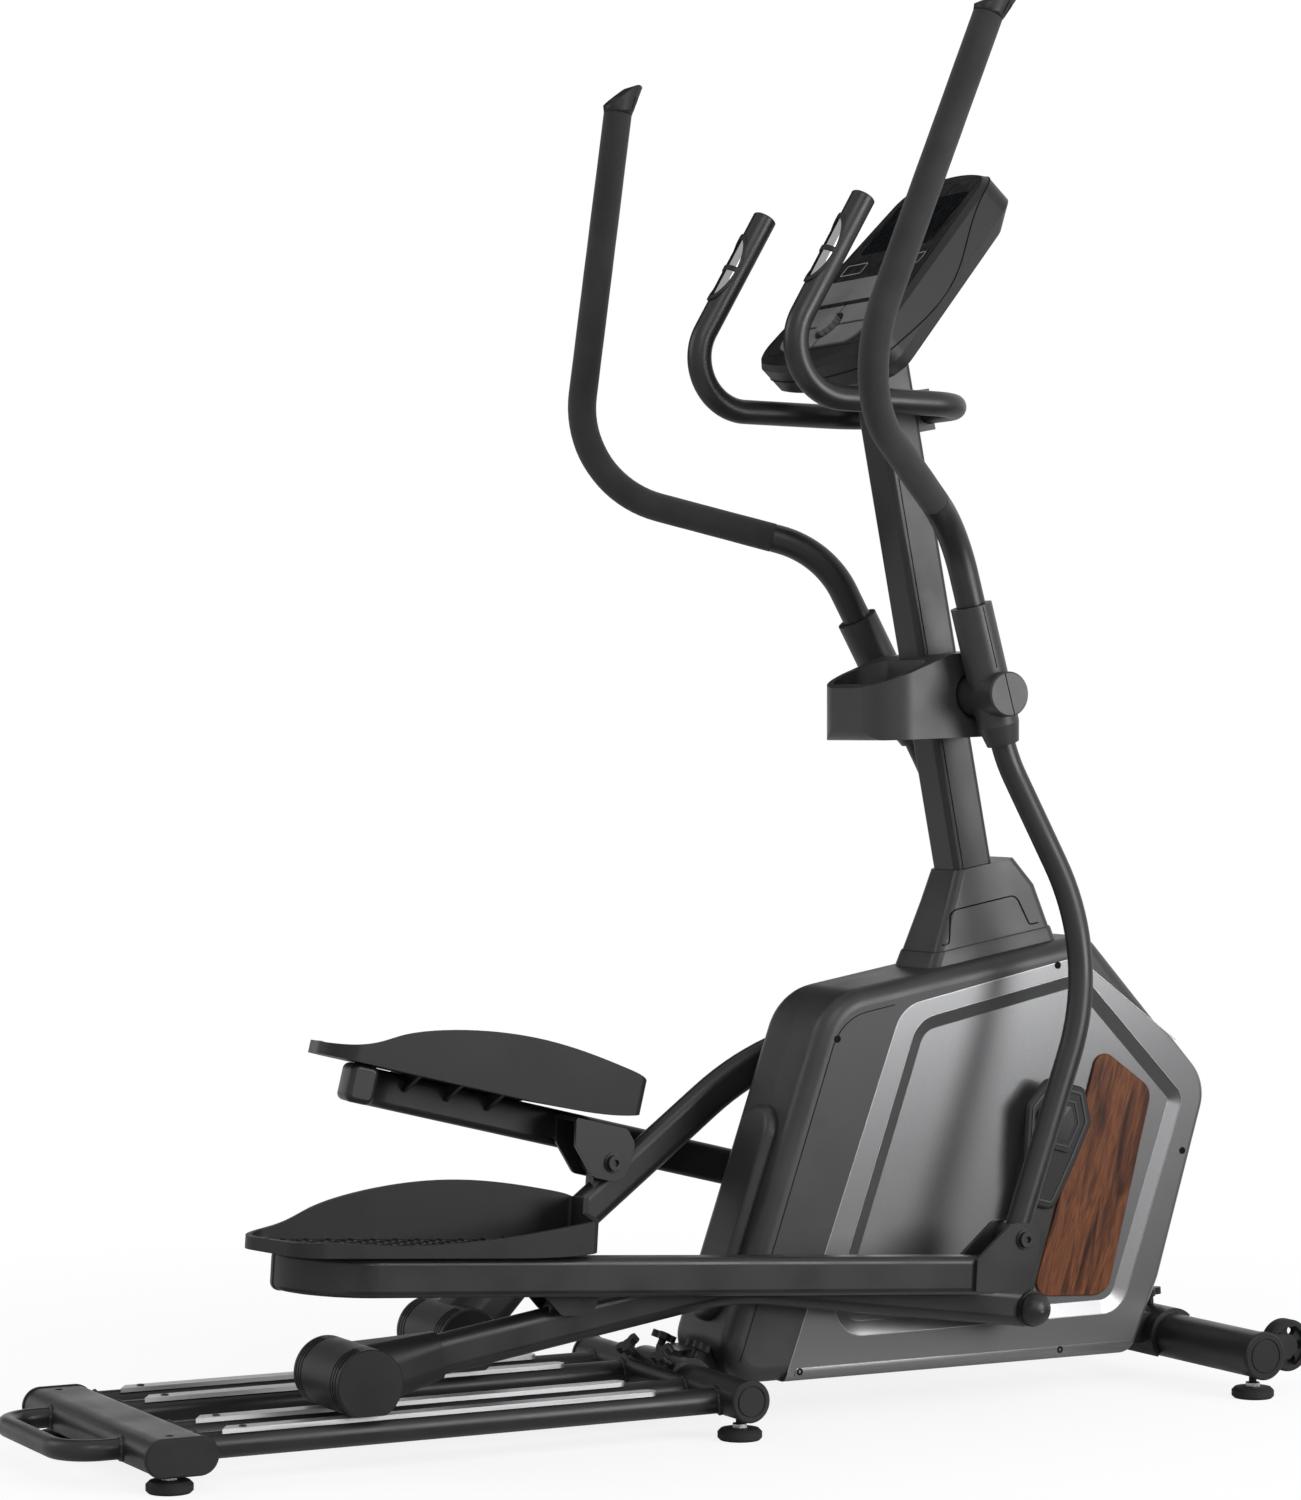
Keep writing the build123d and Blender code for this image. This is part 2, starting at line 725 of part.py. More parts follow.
def main_frame():
    """Floor beam between two saddles, upright with the crank shell, flywheel fork, mast plug."""
    half = BEAM_WIDTH / 2
    beam_top = BEAM_BOTTOM + BEAM_HEIGHT
    beam = block(MID_X, FRONT_X, -half, half, BEAM_BOTTOM, beam_top)
    lower = mast_frame(beam_top - 10)
    upright = lower * extrude(
        RectangleRounded(MAST_DEPTH, MAST_WIDTH, MAST_CORNER), amount=mast_run(beam_top - 10, SHOULDER_Z)
    )
    tight = 2 * (MAST_WALL + SEAT)
    plug = mast_frame(SHOULDER_Z) * extrude(
        RectangleRounded(MAST_DEPTH - tight, MAST_WIDTH - tight, MAST_CORNER - MAST_WALL),
        amount=mast_run(SHOULDER_Z, PLUG_TOP_Z),
    )
    hollow = lower * extrude(
        RectangleRounded(MAST_DEPTH - 2 * tight, MAST_WIDTH - 2 * tight, MAST_CORNER - MAST_WALL),
        amount=mast_run(beam_top - 10, PLUG_TOP_Z) + 1,
    )
    beam_hollow = block(
        MID_X + MID_DIAMETER,
        FRONT_X - FRONT_DIAMETER,
        -half + TUBE_WALL,
        half - TUBE_WALL,
        BEAM_BOTTOM + TUBE_WALL,
        beam_top - TUBE_WALL,
    )
    shell = bar(CRANK_X, CRANK_Z, -SHELL_HALF_LENGTH, SHELL_HALF_LENGTH, SHELL_DIAMETER)
    fork = rounded(
        (
            (MAST_X + 110, FLYWHEEL_Z - 30, 0),
            (FLYWHEEL_X + 24, FLYWHEEL_Z - 30, 20),
            (FLYWHEEL_X + 24, FLYWHEEL_Z + 26, 20),
            (MAST_X + 100, FLYWHEEL_Z + 40, 0),
        )
    )
    forks = []
    for sign in (-1, 1):
        edges = sorted((sign * (half - FORK_THICKNESS), sign * half))
        forks.append(slab(fork, *edges))
    rear = saddle(MID_X, MID_Z, MID_DIAMETER, -35, SADDLE_HALF_WIDTH)
    front = saddle(FRONT_X, FRONT_Z, FRONT_DIAMETER, 45, SADDLE_HALF_WIDTH - 10)
    body = fused([beam, upright, plug, shell, rear, front] + forks)
    body -= hollow - bar(CRANK_X, CRANK_Z, -SHELL_HALF_LENGTH, SHELL_HALF_LENGTH, SHELL_DIAMETER)
    body -= beam_hollow
    body -= bar(MID_X, MID_Z, -SADDLE_HALF_WIDTH, SADDLE_HALF_WIDTH, MID_DIAMETER + 2 * SEAT)
    body -= bar(FRONT_X, FRONT_Z, -SADDLE_HALF_WIDTH, SADDLE_HALF_WIDTH, FRONT_DIAMETER + 2 * SEAT)
    body -= bar(CRANK_X, CRANK_Z, -SHELL_HALF_LENGTH, SHELL_HALF_LENGTH, CRANK_AXLE + 8)
    for sign in (-1, 1):
        seat = sorted((sign * (SHELL_HALF_LENGTH - BEARING_WIDTH), sign * SHELL_HALF_LENGTH))
        body -= bar(CRANK_X, CRANK_Z, *seat, BEARING_DIAMETER + 2 * FIT)
    body -= bar(FLYWHEEL_X, FLYWHEEL_Z, -half, half, FLYWHEEL_AXLE + 2 * FIT)
    pin_end = -FLYWHEEL_INNER - FLYWHEEL_WIDTH - BRAKE_CHEEK_GAP - BRAKE_CHEEK
    return body + bar(*BRAKE_PIN, pin_end, -half, BRAKE_PIN_DIAMETER)


# Magnetic brake


def brake_arm():
    """Yoke with two cheeks beside the flywheel rim, hung on a pin of the main frame."""
    inner = -FLYWHEEL_INNER + BRAKE_CHEEK_GAP
    outer = -FLYWHEEL_INNER - FLYWHEEL_WIDTH - BRAKE_CHEEK_GAP
    rim = FLYWHEEL_RADIUS
    back = rim + 10
    wedge = []
    for angle in BRAKE_ARC:
        turn = math.radians(angle)
        wedge.append((2 * back * math.cos(turn), 2 * back * math.sin(turn)))
    sector = Polygon((0, 0), *wedge, align=None)
    cheek = Pos(FLYWHEEL_X, FLYWHEEL_Z) * ((Circle(back) - Circle(rim - 22)) & sector)
    bridge = Pos(FLYWHEEL_X, FLYWHEEL_Z) * ((Circle(back) - Circle(rim + BRAKE_RIM_GAP)) & sector)
    boss = Pos(*BRAKE_PIN) * Circle(BRAKE_PIN_DIAMETER / 2 + 8)
    parts = [
        slab(cheek, inner, inner + BRAKE_CHEEK),
        slab(cheek, outer - BRAKE_CHEEK, outer),
        slab(bridge, outer - BRAKE_CHEEK, inner + BRAKE_CHEEK),
        slab(boss, outer - BRAKE_CHEEK, inner + BRAKE_CHEEK),
    ]
    arm = fused(parts)
    hole = bar(*BRAKE_PIN, -HOUSING_HALF_WIDTH, 0, BRAKE_PIN_DIAMETER + 2 * FIT)
    return arm - hole


def mast():
    """Leaning box tube with a groove near each rear corner and a bore for the swing axle."""
    run = mast_run(SHOULDER_Z, MAST_TOP_Z)
    section = RectangleRounded(MAST_DEPTH, MAST_WIDTH, MAST_CORNER)
    for sign in (-1, 1):
        groove_x = -MAST_DEPTH / 2 + MAST_CORNER + MAST_GROOVE
        section -= Pos(groove_x, sign * MAST_WIDTH / 2) * Rectangle(MAST_GROOVE, MAST_GROOVE)
    inner_corner = MAST_CORNER - MAST_WALL
    section -= RectangleRounded(MAST_DEPTH - 2 * MAST_WALL, MAST_WIDTH - 2 * MAST_WALL, inner_corner)
    tube = mast_frame(SHOULDER_Z) * extrude(section, amount=run)
    return tube - bar(SWING_X, SWING_Z, -MAST_WIDTH, MAST_WIDTH, SWING_AXLE + 2 * SEAT)


def mast_clearance(margin):
    """The mast's outer shape grown by a margin."""
    start = SHOULDER_Z - 40
    section = RectangleRounded(MAST_DEPTH + 2 * margin, MAST_WIDTH + 2 * margin, MAST_CORNER + margin)
    return mast_frame(start) * extrude(section, amount=mast_run(start, MAST_TOP_Z) + margin)


def swing_axle():
    """Fixed shaft through the mast that both handles swing on."""
    end = HUB_OUTER - 8
    return bar(SWING_X, SWING_Z, -end, end, SWING_AXLE)


# Drive


def crank_axle():
    """Shaft of the cranks."""
    end = CRANK_ARM_INNER + CRANK_ARM_THICKNESS
    return bar(CRANK_X, CRANK_Z, -end, end, CRANK_AXLE)


def crank_bearings():
    """Two ball bearings, as plain rings, in the bearing shell."""
    rings = []
    for sign in (-1, 1):
        edges = sorted((sign * (SHELL_HALF_LENGTH - BEARING_WIDTH), sign * SHELL_HALF_LENGTH))
        ring = bar(CRANK_X, CRANK_Z, *edges, BEARING_DIAMETER)
        rings.append(ring - bar(CRANK_X, CRANK_Z, *edges, CRANK_AXLE + 2 * FIT))
    return group(rings)


def drive_pulley():
    """Large belt pulley with a rim, a web with windows and a hub."""
    y_from = PULLEY_INNER
    y_to = PULLEY_INNER + PULLEY_WIDTH
    middle = (y_from + y_to) / 2
    rim = Circle(PULLEY_RADIUS) - Circle(PULLEY_RADIUS - 12)
    web = Circle(PULLEY_RADIUS - 11) - PolarLocations(74, 6) * Circle(26)
    pulley = slab(Pos(CRANK_X, CRANK_Z) * rim, y_from, y_to)
    pulley += slab(Pos(CRANK_X, CRANK_Z) * web, middle - 3, middle + 3)
    pulley += bar(CRANK_X, CRANK_Z, y_from, y_to, 2 * CRANK_AXLE)
    return pulley - bar(CRANK_X, CRANK_Z, y_from, y_to, CRANK_AXLE + 2 * SEAT)


def belt_outline(grow):
    """Outline of a belt round the two pulleys, grown by the given amount."""
    big = Vector(CRANK_X, CRANK_Z)
    small = Vector(FLYWHEEL_X, FLYWHEEL_Z)
    return tapered(big, PULLEY_RADIUS + grow, small, FLYWHEEL_PULLEY_RADIUS + grow)


def drive_belt():
    """Flat belt from the crank pulley to the flywheel pulley."""
    margin = 3
    loop = belt_outline(GAP + BELT_THICKNESS) - belt_outline(GAP)
    return slab(loop, PULLEY_INNER + margin, PULLEY_INNER + PULLEY_WIDTH - margin)


def flywheel():
    """Flywheel with a heavy rim, its axle and the small belt pulley."""
    y_outer = -FLYWHEEL_INNER - FLYWHEEL_WIDTH
    middle = -FLYWHEEL_INNER - FLYWHEEL_WIDTH / 2
    rim = Circle(FLYWHEEL_RADIUS) - Circle(FLYWHEEL_RADIUS - 24)
    centre = Pos(FLYWHEEL_X, FLYWHEEL_Z)
    wheel = slab(centre * rim, y_outer, -FLYWHEEL_INNER)
    wheel += slab(centre * Circle(FLYWHEEL_RADIUS - 23), middle - 5, middle + 5)
    wheel += bar(FLYWHEEL_X, FLYWHEEL_Z, y_outer, -FLYWHEEL_INNER, 44)
    wheel += bar(FLYWHEEL_X, FLYWHEEL_Z, y_outer - 2, PULLEY_INNER + PULLEY_WIDTH, FLYWHEEL_AXLE)
    small = 2 * FLYWHEEL_PULLEY_RADIUS
    return wheel + bar(FLYWHEEL_X, FLYWHEEL_Z, PULLEY_INNER, PULLEY_INNER + PULLEY_WIDTH, small)


def brake_motor():
    """Resistance motor with its output drum, bolted on the floor beam."""
    floor = BEAM_BOTTOM + BEAM_HEIGHT
    body = block(300, 372, -26, 26, floor, floor + 34)
    body = fillet(body.edges().filter_by(Axis.Z), 8)
    drum = Pos(336, 0, floor + 34) * Cylinder(16, 12, align=(Align.CENTER, Align.CENTER, Align.MIN))
    return body + drum


def crank_arms():
    """Forged crank arms, tapered from the axle boss to the pin boss."""
    arms = []
    for side in SIDES:
        pin = POSE[side]["pin"]
        span = pin - Vector(CRANK_X, CRANK_Z)
        turn = math.degrees(math.atan2(span.Y, span.X))
        arm = tapered(Vector(0, 0), 34, Vector(CRANK_RADIUS, 0), 25)
        outline = Pos(CRANK_X, CRANK_Z) * Rot(0, 0, turn) * arm
        plate = slab(outline, CRANK_ARM_INNER, CRANK_ARM_INNER + CRANK_ARM_THICKNESS)
        plate = chamfer(plate.faces().sort_by(Axis.Y)[-1].edges(), 2.5)
        plate -= bar(CRANK_X, CRANK_Z, 0, 2 * CRANK_ARM_INNER, CRANK_AXLE + 2 * SEAT)
        arms.append(on_side(side, Pos(0, 0, 0), plate))
    return group(arms)


def crank_covers():
    """Stepped hexagonal covers over the crank bosses."""
    covers = []
    base = CRANK_ARM_INNER + CRANK_ARM_THICKNESS
    for side in SIDES:
        pin = POSE[side]["pin"]
        span = pin - Vector(CRANK_X, CRANK_Z)
        turn = math.degrees(math.atan2(span.Y, span.X))
        hexagon = rounded(
            ((-62, -30, 12), (-20, -52, 12), (40, -40, 14), (104, -24, 16), (104, 24, 16), (40, 40, 14),
             (-20, 52, 12), (-62, 30, 12))
        )
        step = rounded(((-46, -20, 8), (-14, -36, 8), (26, -26, 8), (26, 26, 8), (-14, 36, 8), (-46, 20, 8)))
        where = Pos(CRANK_X, CRANK_Z) * Rot(0, 0, turn)
        cover = slab(where * hexagon, base, base + CRANK_COVER_THICKNESS - 4)
        cover = chamfer(cover.faces().sort_by(Axis.Y)[-1].edges(), 3)
        cover += slab(where * step, base, base + CRANK_COVER_THICKNESS)
        covers.append(on_side(side, Pos(0, 0, 0), cover))
    return group(covers)


# Housing


def housing_top(x):
    """Height of the housing's flat top at x."""
    (x_front, z_front, r_front), (x_rear, z_rear, r_rear) = HOUSING[4], HOUSING[5]
    return z_rear + (z_front - z_rear) * (x - x_rear) / (x_front - x_rear)


HOUSING_TOP_SLOPE = math.degrees(math.atan2(HOUSING[4][1] - HOUSING[5][1], HOUSING[4][0] - HOUSING[5][0]))


def housing_cavity(edge_round):
    """Space inside one half of the housing, stepped in where the outer edge is rounded."""
    deep = HOUSING_HALF_WIDTH - HOUSING_SIDE_WALL
    step = min(deep, HOUSING_HALF_WIDTH - edge_round - 3)
    space = slab(inset(HOUSING, HOUSING_WALL), 0, step)
    if step < deep:
        space += slab(inset(HOUSING, HOUSING_WALL + edge_round / 2), step - 1, deep)
    return space


def housing_openings():
    """Holes in the housing for the crank axle, the mast, the beam and the saddles."""
    half = BEAM_WIDTH / 2 + 2
    top = BEAM_BOTTOM + BEAM_HEIGHT + 2
    holes = [bar(CRANK_X, CRANK_Z, 0, HOUSING_HALF_WIDTH + 1, AXLE_HOLE)]
    holes.append(block(-60, 860, 0, half, BEAM_BOTTOM - GAP, top))
    holes.append(mast_clearance(2))
    for x, z, tube in ((MID_X, MID_Z, MID_DIAMETER), (FRONT_X, FRONT_Z, FRONT_DIAMETER)):
        holes.append(bar(x, z, 0, HOUSING_HALF_WIDTH + 1, tube + 2 * SADDLE_WALL + 4))
    return holes


def half_housing():
    """One half of the plain housing, before it is divided into cover and panel."""
    return slab(rounded(HOUSING), 0, HOUSING_HALF_WIDTH)


def rounded_rim(half, radius):
    """Round the outer edge of a half housing where its side face meets its rim."""
    side = half.faces().sort_by(Axis.Y)[-1]
    rim = [edge for edge in side.outer_wire().edges() if on_rim(edge)]
    return fillet(rim, radius)


def on_rim(edge):
    """True for a side edge that lies on the housing's outline and not on the parting line."""
    middle = edge @ 0.5
    spot = Vertex(middle.X, middle.Z, 0)
    outline = rounded(HOUSING).face().outer_wire()
    return outline.distance_to(spot) < 0.05


def side_cover(side):
    """Black half cover: back, top and lower rear of the housing on one side."""
    half = half_housing() - slab(rounded(PANEL_EDGE), -1, HOUSING_HALF_WIDTH + 1)
    half = rounded_rim(half, COVER_ROUND)
    half -= housing_cavity(COVER_ROUND)
    for hole in housing_openings():
        half -= hole
    half -= block(-100, 900, 0, SEAM / 2, 0, 700)
    return on_side(side, Pos(0, 0, 0), half)


def field_recess():
    """Cut for the panel's recessed field, with a wide bevel all round."""
    rim = xz_plane(HOUSING_HALF_WIDTH) * rounded(FIELD)
    floor = xz_plane(HOUSING_HALF_WIDTH - FIELD_DEPTH) * inset(FIELD, FIELD_BEVEL)
    return loft([rim, floor], ruled=True)


def side_panel(side):
    """Satin side panel with a bevelled recess; it wraps the housing's front and bottom."""
    half = half_housing() & offset_panel()
    half = rounded_rim(half, PANEL_ROUND)
    half -= housing_cavity(PANEL_ROUND)
    half -= field_recess()
    for hole in housing_openings():
        half -= hole
    half -= block(-100, 900, 0, SEAM / 2, 0, 700)
    return on_side(side, Pos(0, 0, 0), half)


def offset_panel():
    """Region of the panel, drawn in by the seam."""
    return slab(offset(rounded(PANEL_EDGE), amount=-SEAM), -1, HOUSING_HALF_WIDTH + 1)


def wood_inlay(side):
    """Veneered inlay lying on the floor of the panel's field."""
    floor = HOUSING_HALF_WIDTH - FIELD_DEPTH
    inlay = slab(rounded(INLAY), floor, floor + INLAY_THICKNESS)
    inlay = chamfer(inlay.faces().sort_by(Axis.Y)[-1].edges(), 1.2)
    return on_side(side, Pos(0, 0, 0), inlay)


def rear_cover():
    """Rounded spine cover lying on the flat back of the housing."""
    (x_top, z_top, r_top), (x_low, z_low, r_low) = HOUSING[5], HOUSING[0]
    slope = math.degrees(math.atan2(z_top - z_low, x_top - x_low))
    length = (SPINE_HIGH - SPINE_LOW) / math.sin(math.radians(slope))
    middle = (SPINE_HIGH + SPINE_LOW) / 2
    x_middle = x_low + (middle - z_low) / math.tan(math.radians(slope))
    radius = SPINE_WIDTH / 2
    outline = RectangleRounded(SPINE_WIDTH, length, radius - 1)
    back = Plane(
        origin=(x_middle, 0, middle),
        x_dir=(0, 1, 0),
        z_dir=(-math.sin(math.radians(slope)), 0, math.cos(math.radians(slope))),
    )
    spine = extrude(back * outline, amount=SPINE_DEPTH, dir=back.z_dir)
    outer = max(spine.faces(), key=lambda face: face.center().dot(back.z_dir))
    return fillet(outer.edges(), SPINE_DEPTH - 3)


def boot_section(rear, front, width, z, shrink):
    """Level section of the boot at height z, or on the housing's top where z is None."""
    middle = (rear + front) / 2
    size = RectangleRounded(front - rear - 2 * shrink, width - 2 * shrink, BOOT_CORNER - shrink / 2)
    if z is None:
        return Pos(middle, 0, housing_top(middle)) * Rot(0, -HOUSING_TOP_SLOPE, 0) * size
    return Pos(middle, 0, z) * Rot(0, -HOUSING_TOP_SLOPE, 0) * size


def boot_body(shrink):
    """Tapered boot through its foot, waist and top, drawn in by a wall."""
    foot_section = boot_section(BOOT_REAR, BOOT_FRONT, BOOT_WIDTH, None, shrink)
    waist = boot_section(BOOT_WAIST_REAR, BOOT_WAIST_FRONT, BOOT_WAIST_WIDTH, BOOT_WAIST_Z, shrink)
    top = boot_section(BOOT_TOP_REAR, BOOT_TOP_FRONT, BOOT_TOP_WIDTH, BOOT_TOP_Z - shrink, shrink)
    return loft([foot_section, waist, top], ruled=True)


def mast_boot():
    """Hollow tapered boot between the housing's top and the mast, ribbed across its back."""
    boot = boot_body(0)
    rise = BOOT_WAIST_Z - housing_top(BOOT_REAR)
    for i in range(BOOT_RIBS):
        share = (i + 1) / (BOOT_RIBS + 1)
        x = BOOT_REAR + (BOOT_WAIST_REAR - BOOT_REAR) * share
        z = housing_top(BOOT_REAR) + rise * share
        boot -= rod((x, -BOOT_WAIST_WIDTH / 2 + 8, z), (x, BOOT_WAIST_WIDTH / 2 - 8, z), 3.5)
    return boot - boot_body(BOOT_WALL) - mast_clearance(SEAT)


# Bottle tray


def bottle_tray():
    """Moulded tray round the mast: open cup behind, round recesses for the handle hubs."""
    profile = rounded(
        (
            (TRAY_REAR, TRAY_BOTTOM, 14),
            (TRAY_FRONT - 14, TRAY_BOTTOM + 6, 14),
            (TRAY_FRONT, TRAY_FRONT_TOP - 30, 20),
            (TRAY_FRONT - 22, TRAY_FRONT_TOP, 12),
            (SWING_X - 40, TRAY_FRONT_TOP - 6, 20),
            (TRAY_REAR, TRAY_REAR_TOP, 3),
        )
    )
    tray = slab(profile, -TRAY_HALF_WIDTH, TRAY_HALF_WIDTH)
    length = TRAY_FRONT - TRAY_REAR
    plan = Pos((TRAY_REAR + TRAY_FRONT) / 2, 0, TRAY_BOTTOM - 10) * extrude(
        RectangleRounded(length, 2 * TRAY_HALF_WIDTH, 52), amount=200
    )
    tray = tray & plan
    cup_front = MAST_X - MAST_DEPTH / 2 - 16
    cup = Pos((TRAY_REAR + TRAY_FLOOR + cup_front) / 2, 0, TRAY_BOTTOM + TRAY_FLOOR) * extrude(
        RectangleRounded(cup_front - TRAY_REAR - TRAY_FLOOR, 2 * TRAY_HALF_WIDTH - 28, 34), amount=200
    )
    tray -= cup
    for sign in (-1, 1):
        edges = sorted((sign * (TRAY_HALF_WIDTH - TRAY_RECESS_DEPTH), sign * (TRAY_HALF_WIDTH + 1)))
        tray -= bar(SWING_X, SWING_Z, *edges, TRAY_RECESS)
    tray -= bar(SWING_X, SWING_Z, -TRAY_HALF_WIDTH, TRAY_HALF_WIDTH, SWING_AXLE + 2 * SEAT)
    return tray - mast_clearance(SEAT)


# Swinging handles, modelled with y pointing outward


def hub_axis(distance, y):
    """Point on the hub sleeve's middle line, measured up from the swing axle."""
    lean = math.radians(HUB_LEAN)
    return (-math.sin(lean) * distance, y, math.cos(lean) * distance)


def swing_hub(side):
    """T-shaped hub cover: a boss on the swing axle crossed by the handle's sleeve."""
    inner = TRAY_HALF_WIDTH - TRAY_RECESS_DEPTH + SIDE_GAP
    boss = bar(0, 0, inner, HUB_OUTER, HUB_BOSS)
    boss = chamfer(boss.faces().sort_by(Axis.Y)[-1].edges(), 2)
    sleeve = rod(hub_axis(-HUB_DOWN + 26, SWING_PLANE), hub_axis(HUB_UP, SWING_PLANE), HUB_SLEEVE)
    throat = Plane(origin=hub_axis(-HUB_DOWN + 26, SWING_PLANE), z_dir=hub_axis(-1, 0))
    taper = loft([throat * Circle(HUB_SLEEVE / 2), throat.offset(26) * Circle(ARM_TUBE / 2 + 5)])
    hub = fused([boss, sleeve, taper])
    hub -= bar(0, 0, inner, HUB_OUTER - 6, SWING_AXLE + 2 * FIT)
    clear = SWING_AXLE / 2 + 4
    top = hub_axis(HUB_UP + 1, SWING_PLANE)
    hub -= rod(hub_axis(clear, SWING_PLANE), top, HANDLE_UPPER_TUBE + 2 * SEAT)
    bottom = hub_axis(-HUB_DOWN - 1, SWING_PLANE)
    hub -= rod(hub_axis(-clear, SWING_PLANE), bottom, ARM_TUBE + 2 * SEAT)
    return on_side(side, swing_frame(side), hub)


def knee_point():
    """Middle of the handle's lower bend."""
    return Vector(*hub_axis(UPPER_KNEE_AT, SWING_PLANE))


def bend_point():
    """Middle of the handle's upper bend."""
    return Vector(UPPER_BEND[0], GRIP_PLANE - 2, UPPER_BEND[1])


def top_point():
    """Upper end of the handle tube."""
    return Vector(UPPER_TOP[0], GRIP_PLANE, UPPER_TOP[1])


def grip_start():
    """Where the foam begins, past the lower bend."""
    return knee_point() + (bend_point() - knee_point()).normalized() * 70


def upper_handle(side):
    """Bent upper tube from the hub to the top of the grip."""
    start = hub_axis(SWING_AXLE / 2 + 5, SWING_PLANE)
    points = (start, knee_point(), bend_point(), top_point())
    tube = bent_tube(points, [UPPER_KNEE_RADIUS, UPPER_BEND_RADIUS], HANDLE_UPPER_TUBE, HANDLE_UPPER_TUBE - 4)
    return on_side(side, swing_frame(side), tube)


def grip(side):
    """Foam sleeve along the upper handle and its slanted end cap."""
    points = (grip_start(), bend_point(), top_point())
    foam = bent_tube(points, UPPER_BEND_RADIUS, GRIP_DIAMETER, HANDLE_UPPER_TUBE + 2 * SEAT)
    heading = (top_point() - bend_point()).normalized()
    seat = Plane(origin=top_point() + heading * GAP, x_dir=(1, 0, -heading.X / heading.Z), z_dir=heading)
    radius = GRIP_DIAMETER / 2
    wide = 4 * radius
    slant = rounded(
        (
            (-wide, -GRIP_CAP_LENGTH, 0),
            (wide, -GRIP_CAP_LENGTH, 0),
            (wide, GRIP_CAP_LENGTH * 0.4, 0),
            (radius, GRIP_CAP_LENGTH, 16),
            (-radius, GRIP_CAP_LENGTH * 0.18, 12),
            (-wide, -GRIP_CAP_LENGTH * 0.5, 0),
        )
    )
    side_view = Plane(origin=seat.origin, x_dir=seat.x_dir, z_dir=seat.x_dir.cross(seat.z_dir))
    below_slant = extrude(side_view * slant, amount=wide, both=True)
    flare = seat.offset(GRIP_CAP_LENGTH + 4) * Ellipse(radius + 14, radius - 1)
    widened = loft([seat * Circle(radius), flare])
    cap = below_slant & widened
    return on_side(side, swing_frame(side), group([foam, cap]))


def lower_arm(side):
    """Bowed lower tube with a cross sleeve for the pedal arm's bolt."""
    start = hub_axis(-SWING_AXLE / 2 - 5, SWING_PLANE)
    points = (
        start,
        hub_axis(-LOWER_KNEE_AT, SWING_PLANE),
        (LOWER_BOW[0], PEDAL_PLANE - 1, LOWER_BOW[1]),
        (0, PEDAL_PLANE, -SWING_LENGTH),
    )
    tube = bent_tube(points, [LOWER_KNEE_RADIUS, LOWER_BOW_RADIUS], ARM_TUBE, 0)
    hollow = bent_tube(points, [LOWER_KNEE_RADIUS, LOWER_BOW_RADIUS], ARM_TUBE - 4, 0)
    half = PEDAL_TUBE_WIDTH / 2
    sleeve = bar(0, -SWING_LENGTH, PEDAL_PLANE - half, PEDAL_PLANE + half, PIVOT_SLEEVE)
    tube -= hollow
    tube += sleeve
    tube -= bar(0, -SWING_LENGTH, PEDAL_PLANE - 2 * half, PEDAL_PLANE + 2 * half, PIVOT_BOLT + 2 * FIT)
    return on_side(side, swing_frame(side), tube)


# Pedal arms, modelled on the tube's middle line with y pointing outward


def clevis_outline():
    """Side view of a front clevis plate, from the tube up to the lower pivot of the handle."""
    half = PEDAL_TUBE_HEIGHT / 2
    front = PEDAL_FRONT_PIVOT
    return rounded(
        (
            (PEDAL_TUBE_FRONT - 34, -half + 4, 4),
            (front + 8, -half + 2, 12),
            (front + 24, PEDAL_PIVOT_RISE - 10, 10),
            (front + 20, PEDAL_PIVOT_RISE + 20, 18),
            (front - 20, PEDAL_PIVOT_RISE + 20, 18),
            (PEDAL_TUBE_FRONT - 34, half - 4, 4),
        )
    )


def bolt(x, z, y_head, y_end, length_sign):
    """Socket-head pivot bolt with a washer; the head lies outside y_head."""
    head = sorted((y_head, y_head + length_sign * 8))
    shank = sorted((y_head, y_end))
    washer = sorted((y_head, y_head + length_sign * 2))
    body = bar(x, z, *shank, PIVOT_BOLT) + bar(x, z, *head, 20) + bar(x, z, *washer, 26)
    socket = sorted((y_head + length_sign * 4, y_head + length_sign * 9))
    return body - slab(Pos(x, z) * RegularPolygon(4, 6, major_radius=False), *socket)


def pedal_tube_path():
    """Middle line of the pedal tube: straight, then bent inward at its rear end."""
    return FilletPolyline(
        (PEDAL_TUBE_FRONT, PEDAL_PLANE, 0),
        (PEDAL_TUBE_REAR, PEDAL_PLANE, 0),
        (PEDAL_TUBE_REAR, PEDAL_TUBE_END, 0),
        radius=PEDAL_TUBE_BEND,
    )


